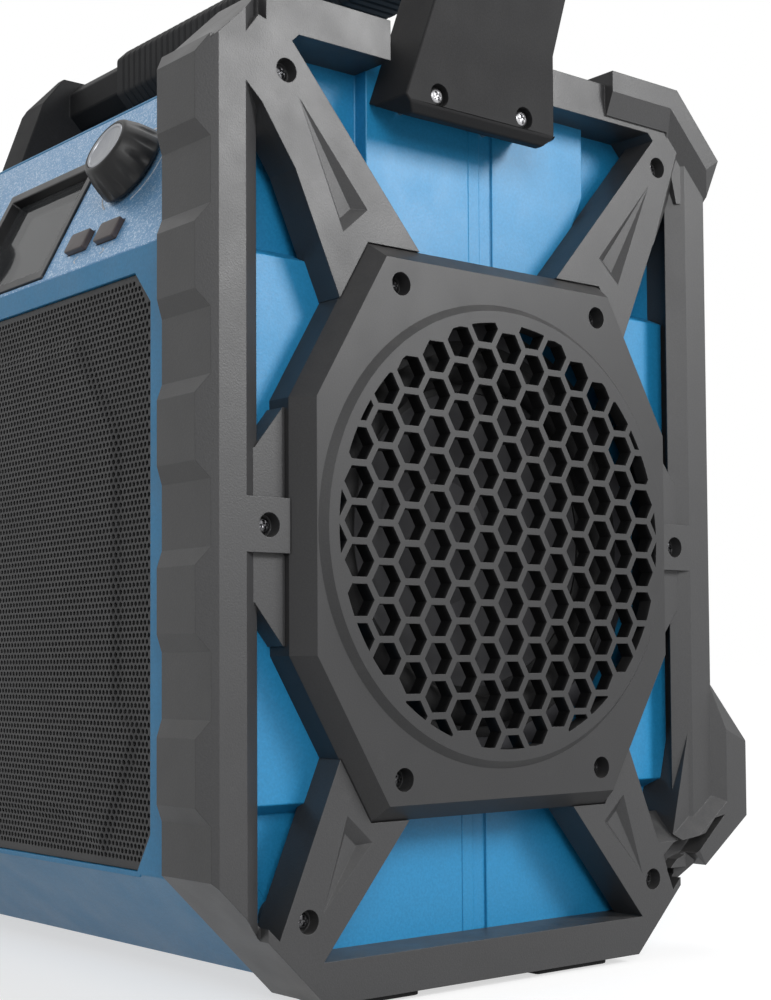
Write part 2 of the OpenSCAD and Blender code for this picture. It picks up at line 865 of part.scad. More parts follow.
// --- Guards ---
low_block = -78.9;
function block_start(i) = low_block - block_len / 2 - block_slope + i * block_pitch;
function block_end(i) = block_start(i) + 2 * block_slope + block_len;

// Stepped front of a post in a side view, from the bottom up
post_steps = [
    for (i = [0:4]) each [
        [-post_front, block_start(i)],
        [-front_reach, block_start(i) + block_slope],
        [-front_reach, block_start(i) + block_slope + block_len],
        [-post_front, block_end(i)]
    ]
];

// Outline of the guard without its bumpers and blocks
module guard_outline() {
    top_cut = 22;
    low_cut = 43;
    polygon([
        [-post_front, -rail_bottom + low_cut], [-post_front + low_cut, -rail_bottom],
        [rail_back - low_cut, -rail_bottom], [rail_back, -rail_bottom + low_cut],
        [rail_back, rail_top - top_cut], [rail_back - top_cut, rail_top],
        [-post_front + top_cut, rail_top], [-post_front, rail_top - top_cut]
    ]);
}

module window_outline() {
    cut = 14;
    polygon([
        [-window_half, -window_bottom + cut], [-window_half + cut, -window_bottom],
        [window_half - cut, -window_bottom], [window_half, -window_bottom + cut],
        [window_half, window_top - cut], [window_half - cut, window_top],
        [-window_half + cut, window_top], [-window_half, window_top - cut]
    ]);
}

// What the front and rear rails leave open behind their lips
module undercut_outline() {
    depth = 6;
    translate([-window_half - depth, -100]) square([2 * (window_half + depth), window_top + 86]);
}

module arm_outline() {
    polygon([[28.5, 93], [88.5, 162.4], [100, 166], [112, 150], [98.7, 137.5], [85.5, 118], [64, 69.5]]);
}

// The lower arms stand a little steeper than the upper ones
module lower_arm_outline() {
    polygon([[34, -92], [79, -146.5], [104, -146.5], [95.5, -140], [64, -66.5]]);
}

// The rear upper arm, with a facet that widens along its outer edge up to the rail
module rear_upper_arm() {
    difference() {
        slab(-arm_drop, -guard_drop) arm_outline();
        translate([86.4, 119.2, -guard_drop]) rotate([0, 0, -20]) rotate([0, 39, 0])
            translate([-20, -60, 0]) cube([80, 120, 40]);
    }
}

// Fills the corner between the rear lower arm and the rail with a facet that faces up
module corner_facet() {
    translate([80, 0, 0]) rotate([90, 0, 90]) linear_extrude(20) polygon([
        [-125, -side_drop], [-103.6, -side_drop], [-114.6, -guard_drop], [-125, -guard_drop]
    ]);
}

module tab_outline() {
    translate([80, -9]) square([30, 18]);
}

module web_outline() {
    inner = window_half + 8;
    polygon([[80, -40], [89, -39], [100, -25], [inner, -25], [inner, 25], [100, 25], [89, 39], [80, 40]]);
}

// Pads under the arms and tabs, where the screws clamp the guard to the housing
module screw_pads() {
    pad_r = 6;
    for (p = [guard_screw_top, guard_screw_low]) translate([p[0], p[1], -deep_drop])
        cylinder(r = pad_r, h = deep_drop - arm_drop + 1);
}

// Front post: the stepped side view crossed with a section that narrows to the front
module post_blocks() {
    front_w = 3;
    back = 3 - post_front;
    intersection() {
        slab(-guard_depth, -guard_drop - 1)
            polygon(concat([[back, block_start(0)]], post_steps, [[back, block_end(4)]]));
        rotate([90, 0, 0]) translate([0, 0, -rail_top]) linear_extrude(2 * rail_top) polygon([
            [back, 1 - guard_depth], [-post_front, -guard_depth],
            [-front_reach, -guard_depth + front_w],
            [-front_reach, -guard_drop - 5.2], [-post_front, -guard_drop - 1.8],
            [back, -guard_drop - 1.8]
        ]);
    }
}

// Outer line of each rear bumper, counter-clockwise
top_bumper = [[rail_back, 138], [120.5, 157.5], [96.5, 181.5], [60, 181.5]];
low_bumper = [[107, -124.7], [rear_reach, -106.7], [rear_reach, -76.7], [rail_back, -54]];

bumper_top = -guard_drop + bumper_rise;

// What is cut away inside a bumper's raised band: a slope that passes the guard's face
function bumper_cut(band_w, foot_w) =
    let (lean = (foot_w - band_w) / bumper_rise)
    [
        [band_w - lean, bumper_top + 1], [foot_w + lean, -guard_drop - 1],
        [foot_w + 90, -guard_drop - 1], [foot_w + 90, bumper_top + 1]
    ];

module top_bumper_solid() {
    difference() {
        slab(-guard_depth, bumper_top)
            polygon(concat([[60, 165], [94, 165], [101, 138]], top_bumper));
        intersection() {
            band(top_bumper[1], top_bumper[2], bumper_cut(8.4, 13.7), 50);
            band(top_bumper[2], top_bumper[3], bumper_cut(8, 18.3), 50);
        }
        // Lower end runs out into the rail
        translate([113.7, 153, bumper_top]) rotate([0, 0, 32.3]) rotate([18.4, 0, 0])
            translate([-50, -60, 0]) cube([100, 70, 20]);
    }
}

module low_bumper_solid() {
    band_w = 11.7;
    cut = bumper_cut(band_w, rear_reach - rail_back + 0.4);
    difference() {
        slab(-guard_depth, bumper_top)
            polygon(concat(low_bumper, [[rail_back - 6, -46], [94, -112]]));
        intersection() {
            band(low_bumper[0], low_bumper[1], cut, 60);
            band(low_bumper[1], low_bumper[2], cut, 60);
        }
        // Upper end runs out into the rail
        translate([rear_reach - band_w, -72, bumper_top]) rotate([0, 0, -24]) rotate([-16.8, 0, 0])
            translate([-50, -10, 0]) cube([100, 70, 20]);
        // So does the lower end
        translate([103.9, -119.3, bumper_top]) rotate([0, 0, 31]) rotate([0, -28, 0])
            translate([-40, -40, 0]) cube([50, 80, 20]);
    }
}

// The pocket between the lower bumper's band, the rail and the arm
module bumper_pocket() {
    slab(-guard_drop - 5, cover) polygon([
        [118.8, -105.6], [102.6, -119.6], [95, -121.8], [89.9, -126.2], [87.4, -119.6],
        [93.3, -115.2], [107.1, -112.2], [112.8, -106.7]
    ]);
}

// A groove in the face of an arm; its floor rises from its base, beside a and b, to its tip
module arm_groove(a, b, tip, foot) {
    depth = 3;
    top = 0.5;
    other_foot = foot + 0.44 * (b - a);
    z = -guard_drop;
    polyhedron(
        points = [
            [a[0], a[1], z], [b[0], b[1], z], [tip[0], tip[1], z], [foot[0], foot[1], z - depth],
            [other_foot[0], other_foot[1], z - depth],
            [a[0], a[1], z + top], [b[0], b[1], z + top], [tip[0], tip[1], z + top]
        ],
        faces = [
            [5, 7, 6], [0, 3, 2], [3, 4, 2], [4, 1, 2], [0, 1, 4, 3], [0, 5, 6, 1], [1, 6, 7, 2],
            [2, 7, 5, 0]
        ]
    );
}

// The housing's own shape, as the guard has to clear it
module housing_envelope() {
    slab(-cover, -deep_drop) polygon(housing_profile(-fit));
    side_field();
    slab(-deep_drop - eps, -saddle_drop) polygon(saddle_outline(-fit));
    front_ear(fit);
}

module guard_rails() {
    difference() {
        slab(-guard_depth, -guard_drop) guard_outline();
        slab(-cover, cover) window_outline();
        slab(-cover, -guard_drop - lip_t) undercut_outline();
        // Sloped inner edges of the front and rear rails
        mirrored_u() translate([window_half, 0, 0]) rotate([90, 0, 0])
            translate([0, 0, -rail_top]) linear_extrude(2 * rail_top)
                polygon([[-1, -guard_drop - 4.7], [0, -guard_drop - 4.7], [7, -guard_drop],
                    [7, -guard_drop + 1], [-1, -guard_drop + 1]]);
        // Small cut along the front edge
        translate([-post_front, 0, -guard_drop]) rotate([90, 0, 0])
            translate([0, 0, -rail_top]) linear_extrude(2 * rail_top)
                polygon([[-1, -2.7], [0, -1.8], [2, 0], [2, 1], [-1, 1]]);
    }
}

module side_guard(side) {
    color([0.25, 0.25, 0.26]) on_side(side) difference() {
        union() {
            guard_rails();
            post_blocks();
            top_bumper_solid();
            low_bumper_solid();
            intersection() {
                union() {
                    mirror([1, 0, 0]) slab(-arm_drop, -guard_drop) arm_outline();
                    rear_upper_arm();
                    corner_facet();
                    mirrored_u() {
                        slab(-arm_drop, -guard_drop) lower_arm_outline();
                        slab(-arm_drop, -guard_drop) tab_outline();
                        screw_pads();
                    }
                }
                slab(-cover, cover) guard_outline();
            }
            slab(-side_drop, -guard_drop - 3) mirrored_u() web_outline();
        }
        housing_envelope();
        slab(-cover, cover) polygon(bezel_outline(bezel_flare + rim_gap));
        mirrored_u() {
            for (p = [guard_screw_top, guard_screw_mid, guard_screw_low]) translate([p[0], p[1], 0]) {
                translate([0, 0, -guard_sink]) cylinder(r = recess_r, h = cover);
                translate([0, 0, -cover / 2]) cylinder(r = screw_r + running, h = cover);
            }
            arm_groove([55.7, 109], [66, 100], [84, 142], [60.8, 109.2]);
            arm_groove([65.5, -95], [55, -104.6], [75.5, -126], [64.4, -101.2]);
        }
        bumper_pocket();
        // Notch for the foot of the handle
        slab(-saddle_drop - fit, cover) translate([handle_front - fit, handle_foot - fit])
            square([handle_back - handle_front + 2 * fit, cover]);
    }
}

guard_sink = 12;
// Gap between a bezel's rim and the guard's arms
rim_gap = 0.1;

module left_guard() { side_guard(-1); }
module right_guard() { side_guard(1); }

// --- Screws ---
// The head's underside is at z = 0
module screw(length) {
    difference() {
        union() {
            cylinder(r = head_r, h = head_h, $fn = 32);
            translate([0, 0, -length]) cylinder(r = screw_r, h = length, $fn = 24);
        }
        for (a = [0, 90]) rotate([0, 0, a]) translate([0, 0, head_h - 1.2]) box([3.6, 0.9, 2]);
    }
}

screw_tip = boss_low - 2;

module guard_screws() {
    color("dimgray") for (side = [-1, 1]) on_side(side) mirrored_u()
        for (p = [guard_screw_top, guard_screw_mid, guard_screw_low])
            translate([p[0], p[1], -guard_sink]) screw(screw_tip - guard_sink);
}

module bezel_screws() {
    color("dimgray") for (side = [-1, 1]) on_side(side) mirrored_u() mirrored_v()
        translate([bezel_screw[0], bezel_screw[1], -bezel_sink]) screw(screw_tip - bezel_sink);
}

// --- Handle ---
handle_out = 1;
handle_sink = 2;
lean = tan(19);

module handle_side() {
    top = handle_top;
    rise = top - handle_foot;
    polygon([
        [handle_front, handle_foot + 5], [handle_front + 5, handle_foot],
        [handle_back - 3, handle_foot], [handle_back, handle_foot + 3], [handle_back, 178],
        [handle_back + 16, top - 18], [handle_back + 16, top - 8], [handle_back + 8, top],
        [handle_front + lean * rise + 6, top], [handle_front + lean * (rise - 14), top - 14]
    ]);
}

bar_u = handle_back - 4;
bar_v = handle_top - 1.5 - bar_h / 2;

module bar_outline(grow) {
    d = bar_d / 2 + grow;
    h = bar_h / 2 + grow;
    cut = 6;
    polygon([
        [d - cut, -h], [d, -h + cut], [d, h - cut], [d - cut, h],
        [-d + cut, h], [-d, h - cut], [-d, -h + cut], [-d + cut, -h]
    ]);
}

cheek_t = 22;
sleeve_half = 100;

module handle() {
    color([0.17, 0.17, 0.18]) difference() {
        union() {
            for (side = [-1, 1]) on_side(side)
                slab(-saddle_drop, handle_out) handle_side();
            across(side_x - 10) translate([bar_u - 5, bar_v]) bar_outline(0);
        }
        for (side = [-1, 1]) on_side(side) {
            // Sloped shoulders, and sloped edges along the foot
            translate([0, handle_top, handle_out]) rotate([45, 0, 0])
                translate([-cover / 2, -12, -12]) cube([cover, 60, 60]);
            translate([0, handle_foot, handle_out]) rotate([-45, 0, 0])
                translate([-cover / 2, -60 + 2.2, -2.2]) cube([cover, 60, 60]);
            // Undercut behind the lip at the foot
            translate([-cover / 2, 0, 0]) rotate([90, 0, 90]) linear_extrude(cover) polygon([
                [handle_foot - 1.4, -2.4], [handle_foot + 8.4, -24.1], [handle_foot - 1.4, -24.1]
            ]);
            for (u = handle_screws_u) translate([u, handle_screw_v, 0]) {
                translate([0, 0, -handle_sink]) cylinder(r = recess_r, h = cover);
                translate([0, 0, -cover / 2]) cylinder(r = screw_r + running, h = cover);
            }
        }
    }
}

module handle_grip() {
    color([0.12, 0.12, 0.12]) across(sleeve_half) translate([bar_u - 5, bar_v]) difference() {
        bar_outline(sleeve_t);
        bar_outline(0);
    }
}

module handle_screws() {
    color("silver") for (side = [-1, 1]) on_side(side) for (u = handle_screws_u)
        translate([u, handle_screw_v, -handle_sink]) screw(screw_tip - handle_sink);
}

// --- Feet ---
module feet() {
    foot_w = 22;
    foot_l = 36;
    color([0.1, 0.1, 0.1]) for (x = [-1, 1], u = [-48, 44])
        translate([x * (side_x - guard_depth + foot_w / 2 + 3), axis_y + u, 0])
            box([foot_w, foot_l, foot_h]);
}

// --- Back ---
knuckle_half = door_w / 2 - 4;

module battery_door() {
    color("steelblue") on_rear() difference() {
        union() {
            translate([-door_w / 2, door_low, -door_recess + eps]) cube([door_w, door_h, 4]);
            // Knuckles on the hinge pin
            for (x = [-1, 1]) translate([x * (door_w / 2 - 14), 0, 0]) {
                translate([0, hinge_v, hinge_z]) rotate([0, 90, 0])
                    cylinder(r = 3.2, h = 20, center = true);
                translate([-10, hinge_v, hinge_z - 3.2]) cube([20, 8, 3]);
            }
            // Grip ridges
            for (i = [0:4]) translate([-20, door_low + 30 + 6 * i, 2]) cube([40, 2, 1]);
        }
        translate([0, hinge_v, hinge_z]) rotate([0, 90, 0])
            cylinder(r = hinge_r + running, h = 2 * door_w, center = true);
        translate([0, fastener_y, -cover / 2]) cylinder(r = stud_r + running, h = cover);
    }
}

module battery_door_pin() {
    color("silver") on_rear() translate([0, hinge_v, hinge_z]) rotate([0, 90, 0])
        cylinder(r = hinge_r, h = door_w + 10, center = true);
}

module door_fastener() {
    color([0.2, 0.2, 0.2]) on_rear() translate([0, fastener_y, 0]) difference() {
        union() {
            translate([0, 0, -9]) cylinder(r = stud_r, h = 9 + 2 + slide_gap);
            translate([0, 0, 2 + slide_gap]) cylinder(r = 8, h = 6);
            translate([0, 0, 8 + slide_gap]) box([3, 14, 2.5]);
        }
        for (i = [0:11]) rotate([0, 0, i * 30]) translate([8.6, 0, 0]) cylinder(r = 1.2, h = 20, $fn = 16);
    }
}

module battery_pack() {
    color("darkslateblue") on_rear() translate([-bay_half + 4, bay_low, -bay_depth])
        cube([2 * bay_half - 8, bay_high - bay_low - 4, bay_depth - 8]);
}

module main_board() {
    color("darkgreen") on_rear() {
        translate([-82, 10, -main_board_z - board_t]) cube([164, 86, board_t]);
        for (part = [[-50, 40, 24, 24, 4], [0, 60, 16, 16, 3], [44, 36, 30, 18, 12], [40, 74, 14, 14, 8]])
            translate([part[0], part[1], -main_board_z - board_t - part[4]])
                box([part[2], part[3], part[4]]);
    }
}

module amp_board() {
    floor_z = axis_h - housing_bottom + wall + amp_post_h - eps;
    color("darkgreen") translate([0, axis_y - 39, floor_z]) {
        translate([-60, -33, 0]) cube([120, 66, board_t]);
        translate([-34, 0, board_t]) cylinder(r = 18, h = 20);
        for (i = [0:5]) translate([6 + 6 * i, -24, board_t]) cube([2, 46, 22]);
        translate([4, -24, board_t]) cube([36, 46, 3]);
    }
}

aux_y = 6;
dc_y = -7;
aux_r = 1.75;
aux_nose = 3.2;
dc_nose = 5;
plate_t = 2;
flap_v = plate_h / 2 - 1;
flap_r = 1.6;
flap_z = plate_t + slide_gap + flap_r;
flap_t = 1.8;

module at_sockets() {
    on_rear() translate([socket_x, socket_y, 0]) children();
}

module socket_plate() {
    color([0.15, 0.15, 0.15]) at_sockets() difference() {
        union() {
            box([plate_w, plate_h, plate_t]);
            // Ears that hold the pin of the flap
            for (x = [-1, 1]) translate([x * (plate_w / 2 - 1.5), flap_v, 0])
                rotate([0, 90, 0]) translate([-flap_z, 0, -1.5]) linear_extrude(3) union() {
                    circle(r = 2);
                    translate([0, -2]) square([flap_z - 0.5, 4]);
                }
        }
        translate([aux_y, -4, -cover / 2]) cylinder(r = aux_nose + fit, h = cover);
        translate([dc_y, -4, -cover / 2]) cylinder(r = dc_nose + fit, h = cover);
        translate([0, flap_v, flap_z]) rotate([0, 90, 0])
            cylinder(r = 0.8 + running, h = 2 * plate_w, center = true);
    }
}

module aux_socket() {
    color("black") at_sockets() translate([aux_y, -4, 0]) difference() {
        union() {
            cylinder(r = aux_nose, h = plate_t - 0.5);
            translate([0, 0, -14]) box([10, 12, 14]);
        }
        translate([0, 0, -12.5]) cylinder(r = aux_r, h = cover);
    }
}

module dc_socket() {
    color("black") at_sockets() translate([dc_y, -4, 0]) {
        difference() {
            union() {
                cylinder(r = dc_nose, h = plate_t - 0.5);
                translate([0, 0, -12]) box([11, 12, 12]);
            }
            translate([0, 0, -9]) cylinder(r = 2.75, h = cover);
        }
        translate([0, 0, -9 - eps]) cylinder(r = 1, h = 8);
    }
}

module socket_flap() {
    w = plate_w - 6 - 2 * slide_gap;
    h = flap_v + plate_h / 2;
    skirt = flap_z - flap_t / 2 - plate_t - slide_gap;
    color([0.08, 0.08, 0.08]) at_sockets() difference() {
        union() {
            translate([0, flap_v, flap_z]) rotate([0, 90, 0])
                cylinder(r = flap_r, h = w, center = true);
            translate([0, flap_v - h / 2, flap_z - flap_t / 2]) box([w, h, flap_t]);
            // Skirt that closes on the plate
            translate([0, flap_v - h / 2, plate_t + slide_gap]) difference() {
                box([w, h, skirt + eps]);
                translate([0, 0, -eps]) box([w - 3, h - 3, skirt + eps]);
            }
            // Lip to lift it by
            translate([0, -plate_h / 2 - 1, plate_t + slide_gap]) box([16, 4, skirt + flap_t + 0.8]);
        }
        translate([0, flap_v, flap_z]) rotate([0, 90, 0])
            cylinder(r = 0.8 + running, h = 2 * plate_w, center = true);
    }
}

module flap_pin() {
    color("silver") at_sockets() translate([0, flap_v, flap_z]) rotate([0, 90, 0])
        cylinder(r = 0.8, h = plate_w - 0.4, center = true);
}

antenna_y = 128;
antenna_z = 13;
mount_w = 22;
mount_t = 3.5;
antenna_x = side_x - guard_depth - 11.2 - mount_w / 2;
spigot_r = 4;
spigot_top = 7;
base_top = 8.7;
ear_t = 2.2;
eye_half = 3.6;

module antenna_mount() {
    color([0.15, 0.15, 0.15]) on_rear() translate([antenna_x, antenna_y, 0]) {
        box([mount_w, mount_w, mount_t]);
        cylinder(r = spigot_r, h = spigot_top);
    }
}

module antenna_base() {
    color([0.12, 0.12, 0.12]) on_rear() translate([antenna_x, antenna_y, 0]) {
        difference() {
            translate([0, 0, mount_t + slide_gap]) cylinder(r = 8, h = base_top - mount_t - slide_gap);
            cylinder(r = spigot_r + running, h = spigot_top + slide_gap);
        }
        for (m = [0, 1]) mirror([0, m, 0]) translate([-5, eye_half + slide_gap, base_top - eps])
            cube([10, ear_t, antenna_z + 4 - base_top]);
        translate([0, 0, antenna_z]) rotate([90, 0, 0])
            cylinder(r = 1.5, h = 2 * (eye_half + slide_gap + ear_t) - 0.5, center = true);
    }
}

module antenna_rod() {
    color([0.1, 0.1, 0.1]) on_rear() translate([antenna_x, antenna_y, antenna_z]) difference() {
        union() {
            rotate([90, 0, 0]) cylinder(r = 4, h = 2 * eye_half, center = true);
            rotate([0, -90, 0]) cylinder(r = antenna_r, h = antenna_l - 4);
            translate([-antenna_l + 4, 0, 0]) sphere(r = antenna_r);
        }
        rotate([90, 0, 0]) cylinder(r = 1.5 + running, h = 20, center = true);
    }
}

front_shell();
rear_shell();
control_panel();
display_bezel();
display_lens();
display_module();
control_board();
volume_knob();
volume_knob_cap();
volume_shaft();
volume_encoder();
tuning_knob();
tuning_knob_cap();
tuning_shaft();
tuning_encoder();
source_button();
band_button();
down_button();
up_button();
power_button();
speaker_grille();
left_driver_basket();
left_driver_cone();
left_driver_surround();
right_driver_basket();
right_driver_cone();
right_driver_surround();
left_woofer_basket();
left_woofer_magnet();
left_woofer_cone();
left_woofer_surround();
right_woofer_basket();
right_woofer_magnet();
right_woofer_cone();
right_woofer_surround();
left_guard();
right_guard();
left_bezel();
right_bezel();
guard_screws();
bezel_screws();
handle();
handle_grip();
handle_screws();
feet();
battery_door();
battery_door_pin();
door_fastener();
battery_pack();
main_board();
amp_board();
socket_plate();
aux_socket();
dc_socket();
socket_flap();
flap_pin();
antenna_mount();
antenna_base();
antenna_rod();
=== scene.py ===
"""Visual model of a jobsite radio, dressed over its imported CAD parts.

Sizes in the classes are millimetres, and every mesh is turned into metres
when it becomes an object. The CAD parts give all places.
"""

from __future__ import annotations

import json
import logging
import math
from dataclasses import dataclass
from enum import Enum
from typing import Iterable, Sequence

import bmesh
import bpy
import numpy as np
from mathutils import Matrix, Vector

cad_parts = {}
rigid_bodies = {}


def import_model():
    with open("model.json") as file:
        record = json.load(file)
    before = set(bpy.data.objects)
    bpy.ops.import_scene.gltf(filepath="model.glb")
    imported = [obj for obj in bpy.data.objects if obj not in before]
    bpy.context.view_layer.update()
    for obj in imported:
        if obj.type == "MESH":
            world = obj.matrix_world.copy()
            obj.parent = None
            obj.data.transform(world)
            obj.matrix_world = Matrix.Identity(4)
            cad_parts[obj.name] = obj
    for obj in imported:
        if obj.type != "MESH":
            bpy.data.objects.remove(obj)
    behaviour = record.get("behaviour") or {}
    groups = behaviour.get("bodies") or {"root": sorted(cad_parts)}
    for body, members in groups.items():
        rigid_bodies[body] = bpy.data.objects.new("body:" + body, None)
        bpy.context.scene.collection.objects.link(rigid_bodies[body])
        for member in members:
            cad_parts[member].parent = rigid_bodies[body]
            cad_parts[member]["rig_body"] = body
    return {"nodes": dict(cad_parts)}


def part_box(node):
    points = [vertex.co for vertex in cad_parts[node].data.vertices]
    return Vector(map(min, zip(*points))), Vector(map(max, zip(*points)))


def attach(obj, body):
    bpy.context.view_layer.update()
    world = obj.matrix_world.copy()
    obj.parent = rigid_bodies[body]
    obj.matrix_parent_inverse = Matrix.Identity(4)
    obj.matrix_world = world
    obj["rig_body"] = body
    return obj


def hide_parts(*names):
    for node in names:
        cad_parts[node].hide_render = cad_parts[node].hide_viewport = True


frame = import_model()

LOG = logging.getLogger("radio")
MM = 0.001

Point = Sequence[float]
Ring = list[tuple[float, float, float]]
Rings = Sequence[Sequence[Point]]
Colour = tuple[float, float, float]
Socket = bpy.types.NodeSocket

# x goes to the back, y up and z to the right
SIDEWAYS = Matrix(((0, 0, 1), (1, 0, 0), (0, 1, 0))).to_4x4()


class Side(Enum):
    """A side of the radio, with the sign of its X."""

    LEFT = -1
    RIGHT = 1

    @property
    def label(self) -> str:
        """The side's name as the parts use it."""
        return self.name.lower()


@dataclass(frozen=True)
class RadioFrame:
    """The places that the parts count from."""

    side_x: float = 172.5
    axis_y: float = -5.5
    axis_h: float = 159.0
    front: float = 112.0
    panel_foot: float = 98.6
    panel_tilt: float = 27.0
    knob_x: float = 73.7
    knob_y: float = 43.3

    def side(self, side: Side) -> Matrix:
        """Frame of a side, in metres: x to the back, y up and z outwards from its bezel."""
        mirror = Matrix.Diagonal((side.value, 1, 1, 1))
        place = Matrix.Translation((self.side_x, self.axis_y, self.axis_h))
        return Matrix.Scale(MM, 4) @ mirror @ place @ SIDEWAYS

    def leaning(self, foot: float, tilt: float) -> Matrix:
        """Frame on the front, so far over the axis and tilted back by so many degrees."""
        turn = Matrix.Rotation(math.radians(90 - tilt), 4, "X")
        place = (0, self.axis_y - self.front, self.axis_h + foot)
        return Matrix.Scale(MM, 4) @ Matrix.Translation(place) @ turn

    def panel(self) -> Matrix:
        """Frame of the control panel: x right, y up the slope, z outwards."""
        return self.leaning(self.panel_foot, self.panel_tilt)

    def face(self) -> Matrix:
        """Frame of the flat front: x right, y up and z to the front."""
        return self.leaning(0.0, 0.0)


RADIO = RadioFrame()


# --- Shader graphs ---


def tint(red: int, green: int, blue: int) -> Colour:
    """Linear colour of a display colour with parts from 0 to 255."""
    parts = (c / 255 for c in (red, green, blue))
    return tuple(c / 12.92 if c < 0.04045 else ((c + 0.055) / 1.055) ** 2.4 for c in parts)


def scaled(colour: Colour, factor: float, more: float = 0.0) -> Colour:
    """A colour times a factor, made paler by a little more and held at 1."""
    return tuple(min(1.0, c * factor + more) for c in colour)


class Graph:
    """Adds and joins the nodes of one shader tree."""

    def __init__(self, tree: bpy.types.NodeTree) -> None:
        """Works on that tree."""
        self.tree = tree

    def feed(self, node: bpy.types.Node, inputs: dict) -> None:
        """Joins sockets to a node's inputs, by name or number, or sets plain values there."""
        for key, value in inputs.items():
            if isinstance(value, Socket):
                self.tree.links.new(value, node.inputs[key])
            else:
                node.inputs[key].default_value = value

    def add(self, kind: str, inputs: dict | None = None, **settings: object) -> bpy.types.Node:
        """Adds a node.

        Args:
            kind: The node's type name.
            inputs: Values or output sockets for its inputs, by name or number.
            settings: Values for its properties.

        Returns:
            The new node.
        """
        node = self.tree.nodes.new(kind)
        for name, value in settings.items():
            setattr(node, name, value)
        self.feed(node, inputs or {})
        return node

    def math(self, operation: str, a: object, b: object = 0.0, clamp: bool = False) -> Socket:
        """Result of a Math node on two values or sockets."""
        node = self.add("ShaderNodeMath", {0: a, 1: b}, operation=operation, use_clamp=clamp)
        return node.outputs[0]

    def times(self, a: object, b: object) -> Socket:
        """Product of two values or sockets."""
        return self.math("MULTIPLY", a, b)

    def ramp(
        self, value: Socket, low: float, high: float, start: float = 0.0, end: float = 1.0
    ) -> Socket:
        """Maps the range from low to high onto start to end, held at both ends."""
        node = self.add("ShaderNodeMapRange", {0: value, 1: low, 2: high, 3: start, 4: end})
        return node.outputs[0]

    def mix(self, factor: object, a: object, b: object) -> Socket:
        """Blends two colours by a factor."""
        pair = [(*c, 1.0) if isinstance(c, tuple) and len(c) == 3 else c for c in (a, b)]
        node = self.add("ShaderNodeMix", {0: factor, 6: pair[0], 7: pair[1]}, data_type="RGBA")
        return node.outputs[2]

    def noise(self, place: Socket, size: object, detail: float = 2.0) -> Socket:
        """Noise whose lumps are about so many millimetres across."""
        scale = self.math("DIVIDE", 1000.0, size) if isinstance(size, Socket) else 1000.0 / size
        node = self.add("ShaderNodeTexNoise", {"Vector": place, "Scale": scale, "Detail": detail})
        return node.outputs["Fac"]

    def bump(self, strength: float, depth: float, height: Socket, **more: Socket) -> Socket:
        """Normal of a surface with a relief, whose depth is in millimetres."""
        inputs = {"Strength": strength, "Distance": depth * MM, "Height": height, **more}
        return self.add("ShaderNodeBump", inputs).outputs[0]

    def place(self) -> Socket:
        """The point on the piece, in metres."""
        return self.add("ShaderNodeTexCoord").outputs["Object"]


class ShaderGroup:
    """A shader node group that is built once and placed in many materials."""

    name = ""
    inputs: dict[str, float] = {}
    outputs: dict[str, str] = {}

    def fill(self, graph: Graph, given: dict[str, Socket]) -> dict[str, Socket]:
        """Builds the group's nodes.

        Args:
            graph: The group's graph.
            given: The group's input sockets by name.

        Returns:
            The sockets for its outputs, by name.
        """
        raise NotImplementedError

    def tree(self) -> bpy.types.NodeTree:
        """The group's tree, made on first use."""
        if self.name in bpy.data.node_groups:
            return bpy.data.node_groups[self.name]
        tree = bpy.data.node_groups.new(self.name, "ShaderNodeTree")
        for name, value in self.inputs.items():
            made = tree.interface.new_socket(
                name=name, in_out="INPUT", socket_type="NodeSocketFloat"
            )
            made.default_value = value
        for name, kind in self.outputs.items():
            tree.interface.new_socket(name=name, in_out="OUTPUT", socket_type=kind)
        graph = Graph(tree)
        entry = graph.add("NodeGroupInput")
        given = {name: entry.outputs[name] for name in self.inputs}
        graph.add("NodeGroupOutput", self.fill(graph, given))
        return tree

    def use(self, graph: Graph, **values: object) -> bpy.types.bpy_prop_collection:
        """Places the group in a graph.

        Args:
            graph: The material's graph.
            values: Its inputs, with spaces written as underscores.

        Returns:
            The group's outputs.
        """
        node = graph.add("ShaderNodeGroup", node_tree=self.tree())
        graph.feed(node, {key.replace("_", " "): value for key, value in values.items()})
        return node.outputs


class MouldedGrain(ShaderGroup):
    """Fine pebbled surface of a textured mould."""

    name = "Moulded grain"
    inputs = {"size": 0.6, "soft size": 5.0}
    outputs = {"height": "NodeSocketFloat", "speck": "NodeSocketFloat"}

    def fill(self, graph: Graph, given: dict[str, Socket]) -> dict[str, Socket]:
        """Builds the pebbles from cells and noise."""
        place = graph.place()
        fine = graph.noise(place, given["size"], 3.0)
        scale = graph.math("DIVIDE", 1000.0, given["size"])
        cells = graph.add("ShaderNodeTexVoronoi", {"Vector": place, "Scale": scale})
        soft = graph.noise(place, given["soft size"], 1.0)
        pebble = graph.math("SUBTRACT", 1.0, cells.outputs["Distance"])
        lumps = graph.math("ADD", graph.times(pebble, 0.6), fine)
        height = graph.math("ADD", lumps, graph.times(soft, 0.1))
        return {"height": height, "speck": graph.ramp(fine, 0.35, 0.7)}


